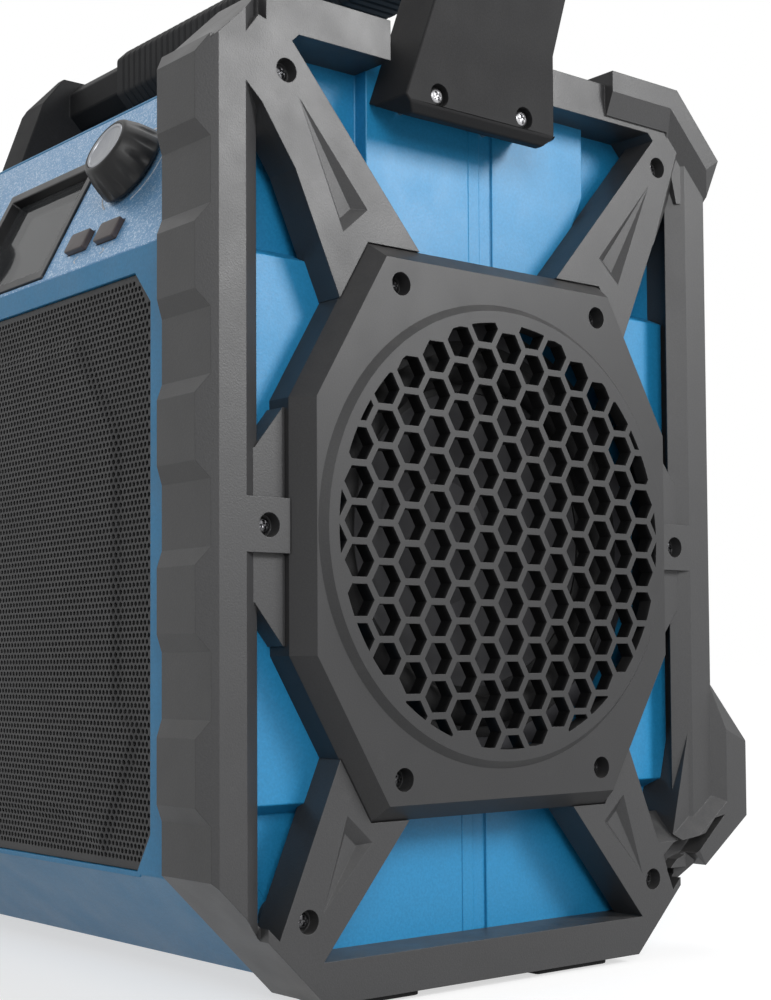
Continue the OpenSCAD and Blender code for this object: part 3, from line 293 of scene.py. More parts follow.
class EdgeWear(ShaderGroup):
    """Mask of the edges that hands and knocks polish, and their softened normal."""

    name = "Edge wear"
    inputs = {"radius": 0.0008, "patch size": 9.0, "reach": 0.35}
    outputs = {"mask": "NodeSocketFloat", "normal": "NodeSocketVector"}

    def fill(self, graph: Graph, given: dict[str, Socket]) -> dict[str, Socket]:
        """Compares the rounded normal with the face's own."""
        round_edge = graph.add("ShaderNodeBevel", {"Radius": given["radius"]}, samples=4)
        face = graph.add("ShaderNodeNewGeometry").outputs["Normal"]
        dot = graph.add(
            "ShaderNodeVectorMath", {0: round_edge.outputs[0], 1: face}, operation="DOT_PRODUCT"
        )
        bend = graph.math("SUBTRACT", 1.0, dot.outputs["Value"])
        patch = graph.noise(graph.place(), given["patch size"], 4.0)
        patch = graph.ramp(patch, 0.3, 0.75, -1.0, 0.2)
        worn = graph.math("ADD", graph.ramp(bend, 0.0, 0.2), patch)
        mask = graph.math("DIVIDE", worn, given["reach"], clamp=True)
        return {"mask": mask, "normal": round_edge.outputs[0]}


class Handling(ShaderGroup):
    """Slow changes of tone and gloss left by moulding and handling."""

    name = "Handling"
    inputs = {"size": 60.0, "smear size": 14.0}
    outputs = {"tone": "NodeSocketFloat", "smear": "NodeSocketFloat"}

    def fill(self, graph: Graph, given: dict[str, Socket]) -> dict[str, Socket]:
        """Mixes a wide and a narrow noise."""
        place = graph.place()
        wide = graph.noise(place, given["size"], 2.0)
        narrow = graph.noise(place, given["smear size"], 5.0)
        tone = graph.math("ADD", graph.times(wide, 0.65), graph.times(narrow, 0.35))
        return {"tone": tone, "smear": graph.ramp(narrow, 0.3, 0.7)}


class SettledDust(ShaderGroup):
    """Mask of pale dust on faces that look up."""

    name = "Settled dust"
    inputs = {"size": 4.0, "cover": 0.4}
    outputs = {"mask": "NodeSocketFloat"}

    def fill(self, graph: Graph, given: dict[str, Socket]) -> dict[str, Socket]:
        """Takes the upward part of the normal and breaks it up."""
        normal = graph.add("ShaderNodeNewGeometry").outputs["Normal"]
        up = graph.add("ShaderNodeSeparateXYZ", {0: normal}).outputs["Z"]
        flat = graph.ramp(up, 0.3, 0.95)
        grains = graph.ramp(graph.noise(graph.place(), given["size"], 6.0), 0.35, 0.75)
        mask = graph.times(graph.times(flat, grains), given["cover"])
        return {"mask": mask}


GRAIN = MouldedGrain()
WEAR = EdgeWear()
HANDLING = Handling()
DUST = SettledDust()


# --- Finishes ---


@dataclass(frozen=True)
class Finish:
    """A material that is built once, on first use."""

    name: str
    colour: Colour

    def shade(self, graph: Graph) -> dict[str, object]:
        """Builds the material's nodes.

        Args:
            graph: The material's graph.

        Returns:
            Sockets and plain values for its Principled BSDF, by name.
        """
        raise NotImplementedError

    def material(self) -> bpy.types.Material:
        """The finish's material."""
        if self.name in bpy.data.materials:
            return bpy.data.materials[self.name]
        made = bpy.data.materials.new(self.name)
        made.use_nodes = True
        graph = Graph(made.node_tree)
        graph.feed(made.node_tree.nodes["Principled BSDF"], self.shade(graph))
        return made

    def dress(self, piece: bpy.types.Object) -> None:
        """Puts the material on every face of a piece."""
        piece.data.materials.clear()
        piece.data.materials.append(self.material())
        zeros = np.zeros(len(piece.data.polygons), dtype=np.int32)
        piece.data.polygons.foreach_set("material_index", zeros)


# Near black of the shade painted into the side speaker openings
PAINTED_WELL_SHADE = tint(10, 10, 11)
DUST_GREY = tint(168, 164, 158)


@dataclass(frozen=True)
class MouldedPlastic(Finish):
    """Textured plastic or rubber from a mould."""

    roughness: float = 0.5
    grain_mm: float = 0.5
    depth: float = 0.02
    wear: float = 0.2
    tone: float = 0.1
    dust: float = 0.25
    gloss: float = 0.5
    soften_mm: float = 0.3
    # Radius round the speaker axis, and distance from the middle plane to the mouth, of the shade
    # painted near black into the side speaker openings; none where the radius is 0
    well_r: float = 0.0
    well_x: float = 0.0

    def darken_well(self, graph: Graph, base: Socket) -> Socket:
        """Paints shade into a colour: near black in the openings of the side speakers, where shade
        falls.

        Args:
            graph: The material's graph.
            base: The colour elsewhere.

        Returns:
            The shaded colour.
        """
        spot = graph.add("ShaderNodeSeparateXYZ", {0: graph.place()}).outputs
        aside = graph.math("ABSOLUTE", spot["X"])
        deep = graph.ramp(aside, (self.well_x - 1.5) * MM, self.well_x * MM, 1.0, 0.0)
        across, up = (
            graph.math("POWER", graph.math("SUBTRACT", spot[axis], middle * MM), 2.0)
            for axis, middle in (("Y", RADIO.axis_y), ("Z", RADIO.axis_h))
        )
        away = graph.math("SQRT", graph.math("ADD", across, up))
        near = graph.ramp(away, (self.well_r - 0.5) * MM, self.well_r * MM, 1.0, 0.0)
        return graph.mix(graph.times(deep, near), base, PAINTED_WELL_SHADE)

    def shade(self, graph: Graph) -> dict[str, object]:
        """Colour with wear, dust and grain, and painted shade in the speaker openings where one is
        set.
        """
        grain = GRAIN.use(graph, size=self.grain_mm, soft_size=self.grain_mm * 9)
        wear = WEAR.use(graph, radius=self.soften_mm * MM, patch_size=11.0, reach=0.6)
        handling = HANDLING.use(graph, size=70.0, smear_size=16.0)
        dust = DUST.use(graph, size=5.0, cover=self.dust)["mask"]
        dark, light = scaled(self.colour, 1 - self.tone), scaled(self.colour, 1 + self.tone)
        base = graph.mix(graph.ramp(handling["tone"], 0.35, 0.65), dark, light)
        base = graph.mix(graph.times(grain["speck"], 0.3), base, scaled(self.colour, 1.5, 0.01))
        worn = graph.times(wear["mask"], self.wear)
        base = graph.mix(worn, base, scaled(self.colour, 1.6, 0.05))
        base = graph.mix(graph.times(dust, 0.35), base, DUST_GREY)
        # Painted shade: near black inside the speaker openings
        if self.well_r:
            base = self.darken_well(graph, base)
        low, high = self.roughness - 0.03, min(1.0, self.roughness + 0.04)
        rough = graph.ramp(handling["smear"], 0.0, 1.0, low, high)
        rough = graph.math("SUBTRACT", rough, graph.times(worn, 0.12), clamp=True)
        return {
            "Base Color": base,
            "Roughness": graph.math("ADD", rough, graph.times(dust, 0.3), clamp=True),
            "Normal": graph.bump(0.6, self.depth, grain["height"], Normal=wear["normal"]),
            "Specular IOR Level": self.gloss,
        }


@dataclass(frozen=True)
class FlakePaint(Finish):
    """Metallic paint with fine bright flakes under a satin coat."""

    flake: Colour
    roughness: float = 0.42
    flake_mm: float = 0.5

    def shade(self, graph: Graph) -> dict[str, object]:
        """Flakes that differ in tone and tilt."""
        scale = 1000.0 / self.flake_mm
        cells = graph.add("ShaderNodeTexVoronoi", {"Vector": graph.place(), "Scale": scale})
        glint = graph.add("ShaderNodeSeparateColor", {0: cells.outputs["Color"]}).outputs[0]
        sparkle = graph.ramp(glint, 0.62, 1.0)
        handling = HANDLING.use(graph, size=80.0, smear_size=12.0)
        wear = WEAR.use(graph, radius=0.0005, patch_size=8.0, reach=0.6)
        base = graph.mix(handling["tone"], scaled(self.colour, 0.9), self.colour)
        low, high = self.roughness - 0.05, self.roughness + 0.06
        return {
            "Base Color": graph.mix(graph.times(sparkle, 0.75), base, self.flake),
            "Roughness": graph.ramp(handling["smear"], 0.0, 1.0, low, high),
            "Metallic": graph.ramp(sparkle, 0.0, 1.0, 0.25, 0.7),
            "Normal": graph.bump(0.25, 0.03, glint, Normal=wear["normal"]),
            "Coat Weight": 0.25,
            "Coat Roughness": 0.3,
        }


@dataclass(frozen=True)
class WorkedMetal(Finish):
    """Turned, plated or stamped metal with fine scratches."""

    roughness: float = 0.3
    scratch_mm: float = 0.25
    tarnish: float = 0.15

    def shade(self, graph: Graph) -> dict[str, object]:
        """Scratches in the gloss, and a little tarnish in the colour."""
        stretch = {"Vector": graph.place(), "Scale": (1.0, 0.08, 0.08)}
        lines = graph.add("ShaderNodeMapping", stretch).outputs[0]
        lines = graph.noise(lines, self.scratch_mm, 4.0)
        stain = graph.times(HANDLING.use(graph, size=20.0, smear_size=4.0)["smear"], self.tarnish)
        low, high = self.roughness - 0.08, self.roughness + 0.12
        return {
            "Base Color": graph.mix(stain, self.colour, scaled(self.colour, 0.45)),
            "Roughness": graph.ramp(lines, 0.3, 0.7, low, high),
            "Normal": graph.bump(0.3, 0.02, lines),
            "Metallic": 1.0,
        }


@dataclass(frozen=True)
class DarkGlass(Finish):
    """Smoked display window with faint smears."""

    roughness: float = 0.28

    def shade(self, graph: Graph) -> dict[str, object]:
        """Dark body colour with smears in its gloss."""
        handling = HANDLING.use(graph, size=50.0, smear_size=10.0)
        high = self.roughness + 0.1
        return {
            "Base Color": graph.mix(handling["tone"], self.colour, scaled(self.colour, 1.1)),
            "Roughness": graph.ramp(handling["smear"], 0.0, 1.0, self.roughness, high),
            "Specular IOR Level": 0.08,
        }


@dataclass(frozen=True)
class PrintedBoard(Finish):
    """Circuit board lacquer with tracks under it."""

    track: Colour

    def shade(self, graph: Graph) -> dict[str, object]:
        """Bricks stand for the runs of track."""
        place = graph.place()
        black, white = (0, 0, 0, 1), (1, 1, 1, 1)
        runs = graph.add("ShaderNodeTexBrick", {
            "Vector": place, "Scale": 160.0, "Mortar Size": 0.06,
            "Color1": black, "Color2": black, "Mortar": white,
        }).outputs["Fac"]
        return {
            "Base Color": graph.mix(runs, self.colour, self.track),
            "Roughness": graph.ramp(graph.noise(place, 1.2, 3.0), 0.4, 0.6, 0.3, 0.5),
            "Normal": graph.bump(0.4, 0.05, runs),
        }


@dataclass(frozen=True)
class PressedFibre(Finish):
    """Felt, cloth and speaker paper."""

    fibre_mm: float = 0.4
    roughness: float = 0.9

    def shade(self, graph: Graph) -> dict[str, object]:
        """Fibres in colour and height."""
        place = graph.place()
        scale = 1000.0 / self.fibre_mm / 20
        warp = {"Vector": place, "Scale": scale, "Distortion": 6.0, "Detail": 3.0}
        weave = graph.add("ShaderNodeTexWave", warp).outputs["Fac"]
        both = graph.times(graph.noise(place, self.fibre_mm, 6.0), weave)
        return {
            "Base Color": graph.mix(both, scaled(self.colour, 0.6), scaled(self.colour, 1.6)),
            "Normal": graph.bump(0.7, 0.08, both),
            "Roughness": self.roughness,
        }


@dataclass(frozen=True)
class PrintedMark(Finish):
    """White ink of the panel's marks, a little rubbed."""

    def shade(self, graph: Graph) -> dict[str, object]:
        """Ink that thins in places."""
        rub = graph.ramp(graph.noise(graph.place(), 1.5, 4.0), 0.35, 0.55)
        return {
            "Base Color": graph.mix(rub, scaled(self.colour, 0.75), self.colour),
            "Roughness": graph.ramp(rub, 0.0, 1.0, 0.6, 0.45),
        }


# The shell gets painted shade inside the side speaker openings (the last two values)
BLUE_SHELL = MouldedPlastic(
    "blue_shell", tint(26, 122, 170), 0.43, 0.9, 0.04, wear=0.18, tone=0.03, dust=0.1,
    well_r=78.0, well_x=160.0,
)
GUARD_RUBBER = MouldedPlastic(
    "guard_rubber", tint(48, 48, 49), 0.42, 0.6, 0.05, wear=0.25, tone=0.04, gloss=0.45,
    soften_mm=0.35,
)
# The bezel's cell walls get painted shade in the side speaker openings (the last two values)
BEZEL_PLASTIC = MouldedPlastic(
    "bezel_plastic", tint(42, 42, 43), 0.42, tone=0.04, gloss=0.35, soften_mm=0.25,
    well_r=75.6, well_x=174.8,
)
HANDLE_PLASTIC = MouldedPlastic(
    "handle_plastic", tint(32, 32, 33), 0.6, 0.6, 0.025, wear=0.15, tone=0.12, gloss=0.12,
    soften_mm=0.4,
)
KNOB_PLASTIC = MouldedPlastic(
    "knob_plastic", tint(18, 18, 19), 0.4, 0.4, 0.01, gloss=0.3, soften_mm=0.25
)
BUTTON_PLASTIC = MouldedPlastic(
    "button_plastic", tint(56, 47, 47), 0.45, depth=0.012, wear=0.25, tone=0.08
)
FRAME_PLASTIC = MouldedPlastic("frame_plastic", tint(15, 15, 17), 0.4, depth=0.01, wear=0.15)
SOFT_RUBBER = MouldedPlastic(
    "soft_rubber", tint(30, 30, 31), 0.75, 0.45, 0.04, wear=0.15, tone=0.15, gloss=0.3,
    soften_mm=0.5,
)
SOCKET_PLASTIC = MouldedPlastic("socket_plastic", tint(40, 40, 42))
BATTERY_PLASTIC = MouldedPlastic(
    "battery_plastic", tint(52, 54, 72), 0.5, 0.7, 0.03, tone=0.12, soften_mm=0.5
)
PART_PLASTIC = MouldedPlastic("part_plastic", tint(96, 98, 100), 0.5, 0.6, wear=0.15)
GRILLE_STEEL = MouldedPlastic(
    "grille_steel", tint(40, 40, 41), 0.48, 0.3, 0.008, wear=0.3, gloss=0.35, soften_mm=0.15
)
PANEL_PAINT = FlakePaint("panel_paint", tint(100, 158, 206), tint(215, 232, 246))
BRIGHT_SCREW = WorkedMetal("bright_screw", tint(158, 158, 160), 0.38)
DARK_SCREW = WorkedMetal("dark_screw", tint(84, 84, 86), 0.35)
KNOB_RING = WorkedMetal("knob_ring", tint(150, 152, 156), 0.35, tarnish=0.05)
KNOB_CAP = WorkedMetal("knob_cap_face", tint(150, 152, 156), 0.38, tarnish=0.05)
BASKET_STEEL = WorkedMetal("basket_steel", tint(110, 112, 116), 0.45)
MAGNET_IRON = WorkedMetal("magnet_iron", tint(92, 90, 90), 0.55)
SHAFT_BRASS = WorkedMetal("shaft_brass", tint(196, 166, 96), 0.3)
PIN_STEEL = WorkedMetal("pin_steel", tint(176, 178, 180), 0.28)
DISPLAY_GLASS = DarkGlass("display_glass", tint(24, 25, 28))
BOARD_LACQUER = PrintedBoard("board_lacquer", tint(20, 74, 44), tint(44, 110, 66))
CONE_PAPER = PressedFibre("cone_paper", tint(14, 14, 15))
SPEAKER_CLOTH = PressedFibre("speaker_cloth", tint(14, 14, 15), 0.5)
WHITE_INK = PrintedMark("white_ink", tint(228, 232, 236))


# --- Meshes ---


class MeshMaker:
    """Collects points and faces in millimetres and makes one object of them."""

    def __init__(self) -> None:
        """Starts empty."""
        self.points: list[Vector] = []
        self.faces: list[list[int]] = []

    def add(self, points: Iterable[Point], faces: Iterable[Sequence[int]], place: Matrix) -> None:
        """Adds a set of points and the faces on them.

        Args:
            points: The points, in the frame of the place.
            faces: Numbers of points, counter-clockwise from outside.
            place: Matrix from that frame to metres in the scene.
        """
        first = len(self.points)
        self.points += [place @ Vector(p) for p in points]
        mirrored = place.determinant() < 0
        for face in faces:
            loop = [first + i for i in face]
            self.faces.append(loop[::-1] if mirrored else loop)

    def loft(
        self, rings: Rings, place: Matrix, ends: tuple[bool, bool] = (True, True)
    ) -> None:
        """Joins closed rings of the same number of points.

        Args:
            rings: The rings, counter-clockwise as seen from the last one.
            place: Matrix from their frame to metres in the scene.
            ends: Whether the first and the last ring are closed.
        """
        n = len(rings[0])
        points = [p for ring in rings for p in ring]
        faces = [
            (k * n + i, k * n + (i + 1) % n, (k + 1) * n + (i + 1) % n, (k + 1) * n + i)
            for k in range(len(rings) - 1)
            for i in range(n)
        ]
        if ends[0]:
            faces.append(tuple(range(n))[::-1])
        if ends[1]:
            faces.append(tuple((len(rings) - 1) * n + i for i in range(n)))
        self.add(points, faces, place)

    def build(self, name: str, smooth: float = 30.0) -> bpy.types.Object:
        """Makes the object.

        Args:
            name: The piece's name.
            smooth: Edges that bend less than this, in degrees, are smooth.

        Returns:
            The new object.
        """
        mesh = bpy.data.meshes.new(name)
        mesh.from_pydata([tuple(p) for p in self.points], [], self.faces)
        mesh.validate()
        shade_by_angle(mesh, smooth)
        return new_object(name, mesh)


def new_object(name: str, data: bpy.types.ID) -> bpy.types.Object:
    """Makes an object and links it to the scene."""
    made = bpy.data.objects.new(name, data)
    bpy.context.scene.collection.objects.link(made)
    return made


def shade_by_angle(mesh: bpy.types.Mesh, degrees: float) -> None:
    """Shades a mesh smooth, with sharp edges where it bends by more degrees."""
    mesh.shade_smooth()
    mesh.set_sharp_from_angle(angle=math.radians(degrees))


def circle_ring(radius: float, z: float, count: int = 72) -> Ring:
    """Points of a circle at a height, counter-clockwise."""
    turn = [2 * math.pi * i / count for i in range(count)]
    return [(radius * math.cos(a), radius * math.sin(a), z) for a in turn]


def rounded_outline(corners: Sequence[Point], radius: float, steps: int = 4) -> np.ndarray:
    """Rounds the corners of a convex outline.

    Args:
        corners: The corners, counter-clockwise.
        radius: Radius of the rounding.
        steps: Pieces of each arc.

    Returns:
        The points of the rounded outline, one row each.
    """
    made = []
    count = len(corners)
    for i in range(count):
        before, here, after = (Vector(corners[(i + k - 1) % count][:2]) for k in range(3))
        a, b = (before - here).normalized(), (after - here).normalized()
        half = a.angle(b) / 2
        centre = here + (a + b).normalized() * radius / math.sin(half)
        start = here + a * radius / math.tan(half) - centre
        sweep = math.pi - 2 * half
        for k in range(steps + 1):
            turned = start.copy()
            turned.rotate(Matrix.Rotation(sweep * k / steps, 2))
            made.append(tuple(centre + turned))
    return np.array(made)


def box_corners(width: float, height: float) -> list[tuple[float, float]]:
    """Corners of a centred rectangle, counter-clockwise."""
    w, h = width / 2, height / 2
    return [(-w, -h), (w, -h), (w, h), (-w, h)]


def at_height(outline: np.ndarray, z: float, grow: float = 0.0) -> Ring:
    """Lifts an outline to a height and moves its points outwards by so much."""
    ahead = np.roll(outline, -1, 0) - np.roll(outline, 1, 0)
    normal = np.stack([ahead[:, 1], -ahead[:, 0]], 1)
    normal /= np.linalg.norm(normal, axis=1, keepdims=True)
    return [(x, y, z) for x, y in outline + normal * grow]


@dataclass(frozen=True)
class Softening:
    """How the edges of a carried-over CAD part are rounded."""

    width: float = 0.4
    segments: int = 2
    angle: float = 28.0
    shortest: float = 2.5
    same: float = 3.0
    flat: bool = False

    def mark(self, mesh: bmesh.types.BMesh, normals: Iterable[Vector]) -> None:
        """Marks the edges where two surfaces meet, and the long sharp ones for rounding.

        Args:
            mesh: The mesh, in metres.
            normals: The surface's normal at each corner of each face.
        """
        kept = mesh.loops.layers.float_vector.new("surface")
        corners = (loop for face in mesh.faces for loop in face.loops)
        for loop, normal in zip(corners, normals):
            loop[kept] = normal
        bmesh.ops.remove_doubles(mesh, verts=mesh.verts, dist=2e-6)
        weight = mesh.edges.layers.float.new("bevel_weight_edge")
        for edge in mesh.edges:
            if len(edge.link_faces) != 2:
                continue
            one, other = edge.link_loops
            bends = (
                one[kept].angle(other.link_loop_next[kept], 0.0),
                one.link_loop_next[kept].angle(other[kept], 0.0),
            )
            bend = edge.calc_face_angle(0.0) if self.flat else max(bends)
            edge.smooth = bend < math.radians(self.same)
            long = edge.calc_length() > self.shortest * MM
            if long and not edge.smooth and edge.calc_face_angle(0.0) > math.radians(self.angle):
                edge[weight] = 1.0
        mesh.loops.layers.float_vector.remove(kept)


class Workshop:
    """Turns CAD parts and new meshes into dressed pieces of the radio."""

    def body_of(self, node: str) -> str:
        """Name of the body that a CAD part rides on."""
        return frame["nodes"][node]["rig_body"]

    def paint(self, finish: Finish, *nodes: str) -> None:
        """Gives CAD parts that stay their material."""
        for node in nodes:
            part = frame["nodes"][node]
            for place in part.material_slots:
                place.material = finish.material()
            if not part.material_slots:
                part.data.materials.append(finish.material())
            LOG.info("painted %s with %s", node, finish.name)

    def place(
        self, piece: bpy.types.Object, finish: Finish, *nodes: str, body: str = ""
    ) -> bpy.types.Object:
        """Dresses a new piece and ties it to the CAD parts it stands for.

        Args:
            piece: The piece.
            finish: Its finish.
            nodes: The CAD parts that it replaces.
            body: The body that it rides on, if it replaces none.

        Returns:
            The piece.
        """
        finish.dress(piece)
        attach(piece, body or self.body_of(nodes[0]))
        if nodes:
            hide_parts(*nodes)
        LOG.info("placed %s (%d faces)", piece.name, len(piece.data.polygons))
        return piece

    def loft(
        self, name: str, rings: Rings, place: Matrix, finish: Finish, *nodes: str,
        smooth: float = 50.0, body: str = "",
    ) -> bpy.types.Object:
        """Builds a piece of closed rings, as a MeshMaker does, and places it."""
        maker = MeshMaker()
        maker.loft(rings, place)
        return self.place(maker.build(name, smooth), finish, *nodes, body=body)

    def soften(self, node: str, finish: Finish, edges: Softening = Softening()) -> None:
        """Puts a copy with rounded edges in the place of a CAD part.

        Args:
            node: The part.
            finish: Its finish.
            edges: How its edges are rounded.
        """
        mesh = frame["nodes"][node].data.copy()
        mesh.name = node + "_moulded"
        work = bmesh.new()
        work.from_mesh(mesh)
        edges.mark(work, [corner.vector.copy() for corner in mesh.corner_normals])
        work.to_mesh(mesh)
        work.free()
        for name in [a.name for a in mesh.attributes if a.name.startswith("custom_normal")]:
            mesh.attributes.remove(mesh.attributes[name])
        piece = new_object(node + "_moulded", mesh)
        if edges.width:
            bevel = piece.modifiers.new("edges", "BEVEL")
            bevel.width = edges.width * MM
            bevel.segments = edges.segments
            bevel.limit_method = "WEIGHT"
            bevel.use_clamp_overlap = False
            bevel.miter_outer = "MITER_ARC"
            self.settle(piece)
        smooth = np.ones(len(piece.data.polygons), dtype=bool)
        piece.data.polygons.foreach_set("use_smooth", smooth)
        flatten = piece.modifiers.new("flat", "WEIGHTED_NORMAL")
        flatten.keep_sharp = True
        self.settle(piece)
        self.place(piece, finish, node)

    def settle(self, piece: bpy.types.Object) -> None:
        """Applies a piece's modifiers to its mesh."""
        graph = bpy.context.evaluated_depsgraph_get()
        settled = bpy.data.meshes.new_from_object(piece.evaluated_get(graph))
        old = piece.data
        piece.modifiers.clear()
        piece.data = settled
        bpy.data.meshes.remove(old)
        settled.name = piece.name


SHOP = Workshop()


# --- Sub-assemblies ---


@dataclass
class Housing:
    """The two shells and the feet."""

    def build(self) -> None:
        """Makes the shells and the feet."""
        for node in ("front_shell", "rear_shell"):
            SHOP.soften(node, BLUE_SHELL)
        SHOP.soften("feet", SOFT_RUBBER, Softening(1.2, 3))


@dataclass
class PushButton:
    """A push button with a rounded, slightly crowned top."""

    node: str
    x: float
    y: float = 13.2
    width: float = 14.0
    height: float = 8.5
    corner: float = 1.2
    top: float = 2.2
    fillet: float = 0.4
    crown: float = 0.12
    low: float = -5.8
    flange: float = 3.0
    stem: float = 4.0
    foot: float = -8.9

    def outline(self) -> np.ndarray:
        """The button's outline in the panel's frame."""
        return rounded_outline(box_corners(self.width, self.height), self.corner)

    def build(self) -> None:
        """Makes the button as a loft from its flange to its crown."""
        outline = self.outline()
        rim_z = self.top - self.crown
        rings = [at_height(outline, self.low)]
        for k in range(5):
            a = math.pi / 2 * k / 4
            sink = self.fillet * (1 - math.cos(a))
            rings.append(at_height(outline, rim_z - self.fillet * (1 - math.sin(a)), -sink))
        rim = np.array(rings[-1])[:, :2]
        for k in (0.75, 0.5, 0.25, 0.05):
            rings.append([(x * k, y * k, self.top - self.crown * k * k) for x, y in rim])
        maker = MeshMaker()
        place = RADIO.panel() @ Matrix.Translation((self.x, self.y, 0))
        maker.loft(rings, place)
        wide = box_corners(self.width + self.flange, self.height + self.flange)
        flange, stem = rounded_outline(wide, 1.0), np.array(box_corners(self.stem, self.stem))
        under = self.low - 1
        for shape, low, high in ((flange, under, self.low), (stem, self.foot, under)):
            maker.loft([at_height(shape, low), at_height(shape, high)], place)
        SHOP.place(maker.build(self.node + "_cap"), BUTTON_PLASTIC, self.node)


@dataclass
class RoundButton(PushButton):
    """The round power button."""

    radius: float = 5.0

    def outline(self) -> np.ndarray:
        """A circle."""
        return np.array(circle_ring(self.radius, 0.0, 40))[:, :2]


@dataclass
class Knob:
    """A fluted knob with a bright ring round a dished cap."""

    label: str
    x: float
    radius: float = 16.0
    height: float = 14.5
    gap: float = 0.8
    dish_r: float = 9.8
    flutes: int = 14
    flute_r: float = 2.6
    flute_out: float = 1.7
    flute_foot: float = 1.4
    flute_run: float = 1.6
    lean: float = 14.0
    lean_foot: float = 2.2
    steps: int = 14

    def barrel(self, radius: float, z: float) -> Ring:
        """Ring of the barrel at a height, with its flutes pressed in.

        Args:
            radius: The barrel's radius at that height.
            z: The height.

        Returns:
            The ring's points.
        """
        count = self.flutes * self.steps
        up = z - self.gap
        lean = math.tan(math.radians(self.lean)) * max(0.0, up - self.lean_foot)
        centre = self.radius + self.flute_out - lean
        fade = min(1.0, max(0.0, (up - self.flute_foot) / self.flute_run))
        ring = []
        for i in range(count):
            turn = 2 * math.pi * i / count
            off = (i % self.steps) / self.steps - 0.5
            phi = off * 2 * math.pi / self.flutes
            reach = self.flute_r**2 - (centre * math.sin(phi)) ** 2
            r = radius
            if reach > 0:
                cut = centre * math.cos(phi) - math.sqrt(reach)
                r = radius - fade * max(0.0, radius - cut)
            ring.append((r * math.cos(turn), r * math.sin(turn), z))
        return ring

    def crown(self, *rows: tuple[float, float]) -> list[tuple[float, float]]:
        """Radii and heights, counted outwards from the dish and down from the top."""
        return [(self.dish_r + out, self.height - down) for out, down in rows]

    def build(self) -> None:
        """Makes the barrel, the bright ring and the dished cap inside it."""
        node = self.label + "_knob"
        place = RADIO.panel() @ Matrix.Translation((self.x, RADIO.knob_y, 0))
        flank = (
            (1.2, 0.0), (0.4, 0.25), (0.0, 0.9), (0.1, 1.6), (0.4, 3.0), (0.9, 5.0), (1.7, 7.6),
            (2.8, 10.0),
        )
        profile = [(self.radius - inset, self.gap + up) for inset, up in flank]
        profile += self.crown((2.3, 1.3), (1.6, 0.5), (0.8, 0.15), (0.1, 0.4), (0.0, 2.2))
        barrel = [self.barrel(r, z) for r, z in profile]
        SHOP.loft(node + "_barrel", barrel, place, KNOB_PLASTIC, node)
        ring = self.crown(
            (-0.05, 2.2), (-0.05, 0.5), (-0.4, 0.15), (-1.0, 0.2), (-1.35, 0.6), (-1.4, 2.2)
        )
        rings = [circle_ring(r, z) for r, z in ring]
        bright = SHOP.loft(node + "_ring", rings, place, KNOB_RING, body=node)
        dish = self.crown((-1.42, 2.2), (-1.42, 0.75))
        for part in (1, 0.8125, 0.625, 0.4375, 0.25, 0.1):
            sink = 0.8 + 0.9 * (1 - part**2)
            dish.append((part * (self.dish_r - 1.5), self.height - sink))
        rings = [circle_ring(r, z) for r, z in dish]
        SHOP.loft(node + "_dish", rings, place, KNOB_CAP, node + "_cap")


@dataclass
class PanelMarks:
    """Thin printed lines round the knobs and beside the buttons."""

    lift: float = 0.02
    thick: float = 0.04
    arc_r: float = 18.6
    arc_turn: tuple[float, float] = (-60, 240)
    arc_line: float = 0.7
    arrow_x: tuple[float, float] = (61, 81)
    arrow_y: float = 4.9
    arrow_h: float = 1.4
    arrow_line: float = 0.55

    def ribbon(self, maker: MeshMaker, path: Sequence[Point], width: float) -> None:
        """Adds a printed line along a path.

        Args:
            maker: The mesh that takes it.
            path: Points in the panel's frame.
            width: The line's width.
        """
        here = np.array(path, float)
        ahead = np.gradient(here, axis=0)
        side = np.stack([-ahead[:, 1], ahead[:, 0]], 1)
        side *= width / 2 / np.linalg.norm(side, axis=1, keepdims=True)
        left, right = here + side, here - side
        low, high = self.lift, self.lift + self.thick
        rings = [
            [(*right[i], low), (*right[i], high), (*left[i], high), (*left[i], low)]
            for i in range(len(here))
        ]
        maker.loft(rings, RADIO.panel())

    def build(self) -> None:
        """Makes all marks as one piece."""
        maker = MeshMaker()
        turns = np.radians(np.linspace(*self.arc_turn, 60))
        arc = self.arc_r * np.stack([np.cos(turns), np.sin(turns)], 1)
        for side in Side:
            self.ribbon(maker, arc + (side.value * RADIO.knob_x, RADIO.knob_y), self.arc_line)
            for x, turn in zip(self.arrow_x, (-1, 1)):
                x, turn = x * side.value, turn * side.value
                tip = (x + 1.1 * turn, self.arrow_y)
                upper, lower = (
                    (x - 0.9 * turn, self.arrow_y + rise) for rise in (self.arrow_h, -self.arrow_h)
                )
                for path in ([upper, tip], [tip, lower]):
                    self.ribbon(maker, path, self.arrow_line)
        SHOP.place(maker.build("panel_marks"), WHITE_INK, body="radio")


@dataclass
class ControlPanel:
    """The tilted plate with the display, knobs and buttons."""

    button_near: float = 58.5
    button_far: float = 80.2
    power_x: float = -105.0

    def build(self) -> None:
        """Makes everything on the panel and the boards behind it."""
        SHOP.soften("control_panel", PANEL_PAINT, Softening(0.35))
        SHOP.soften("display_bezel", FRAME_PLASTIC, Softening(0.5))
        SHOP.soften("display_lens", DISPLAY_GLASS, Softening(0, flat=True))
        for label, x in (("volume", RADIO.knob_x), ("tuning", -RADIO.knob_x)):
            Knob(label, x).build()
            SHOP.paint(SHAFT_BRASS, label + "_shaft")
            SHOP.paint(PART_PLASTIC, label + "_encoder")
        for name, x in (
            ("source", -self.button_far), ("band", -self.button_near),
            ("down", self.button_near), ("up", self.button_far),
        ):
            PushButton(name + "_button", x).build()
        RoundButton("power_button", self.power_x, width=10, height=10).build()
        PanelMarks().build()
        SHOP.paint(PART_PLASTIC, "display_module")
        SHOP.paint(BOARD_LACQUER, "control_board")


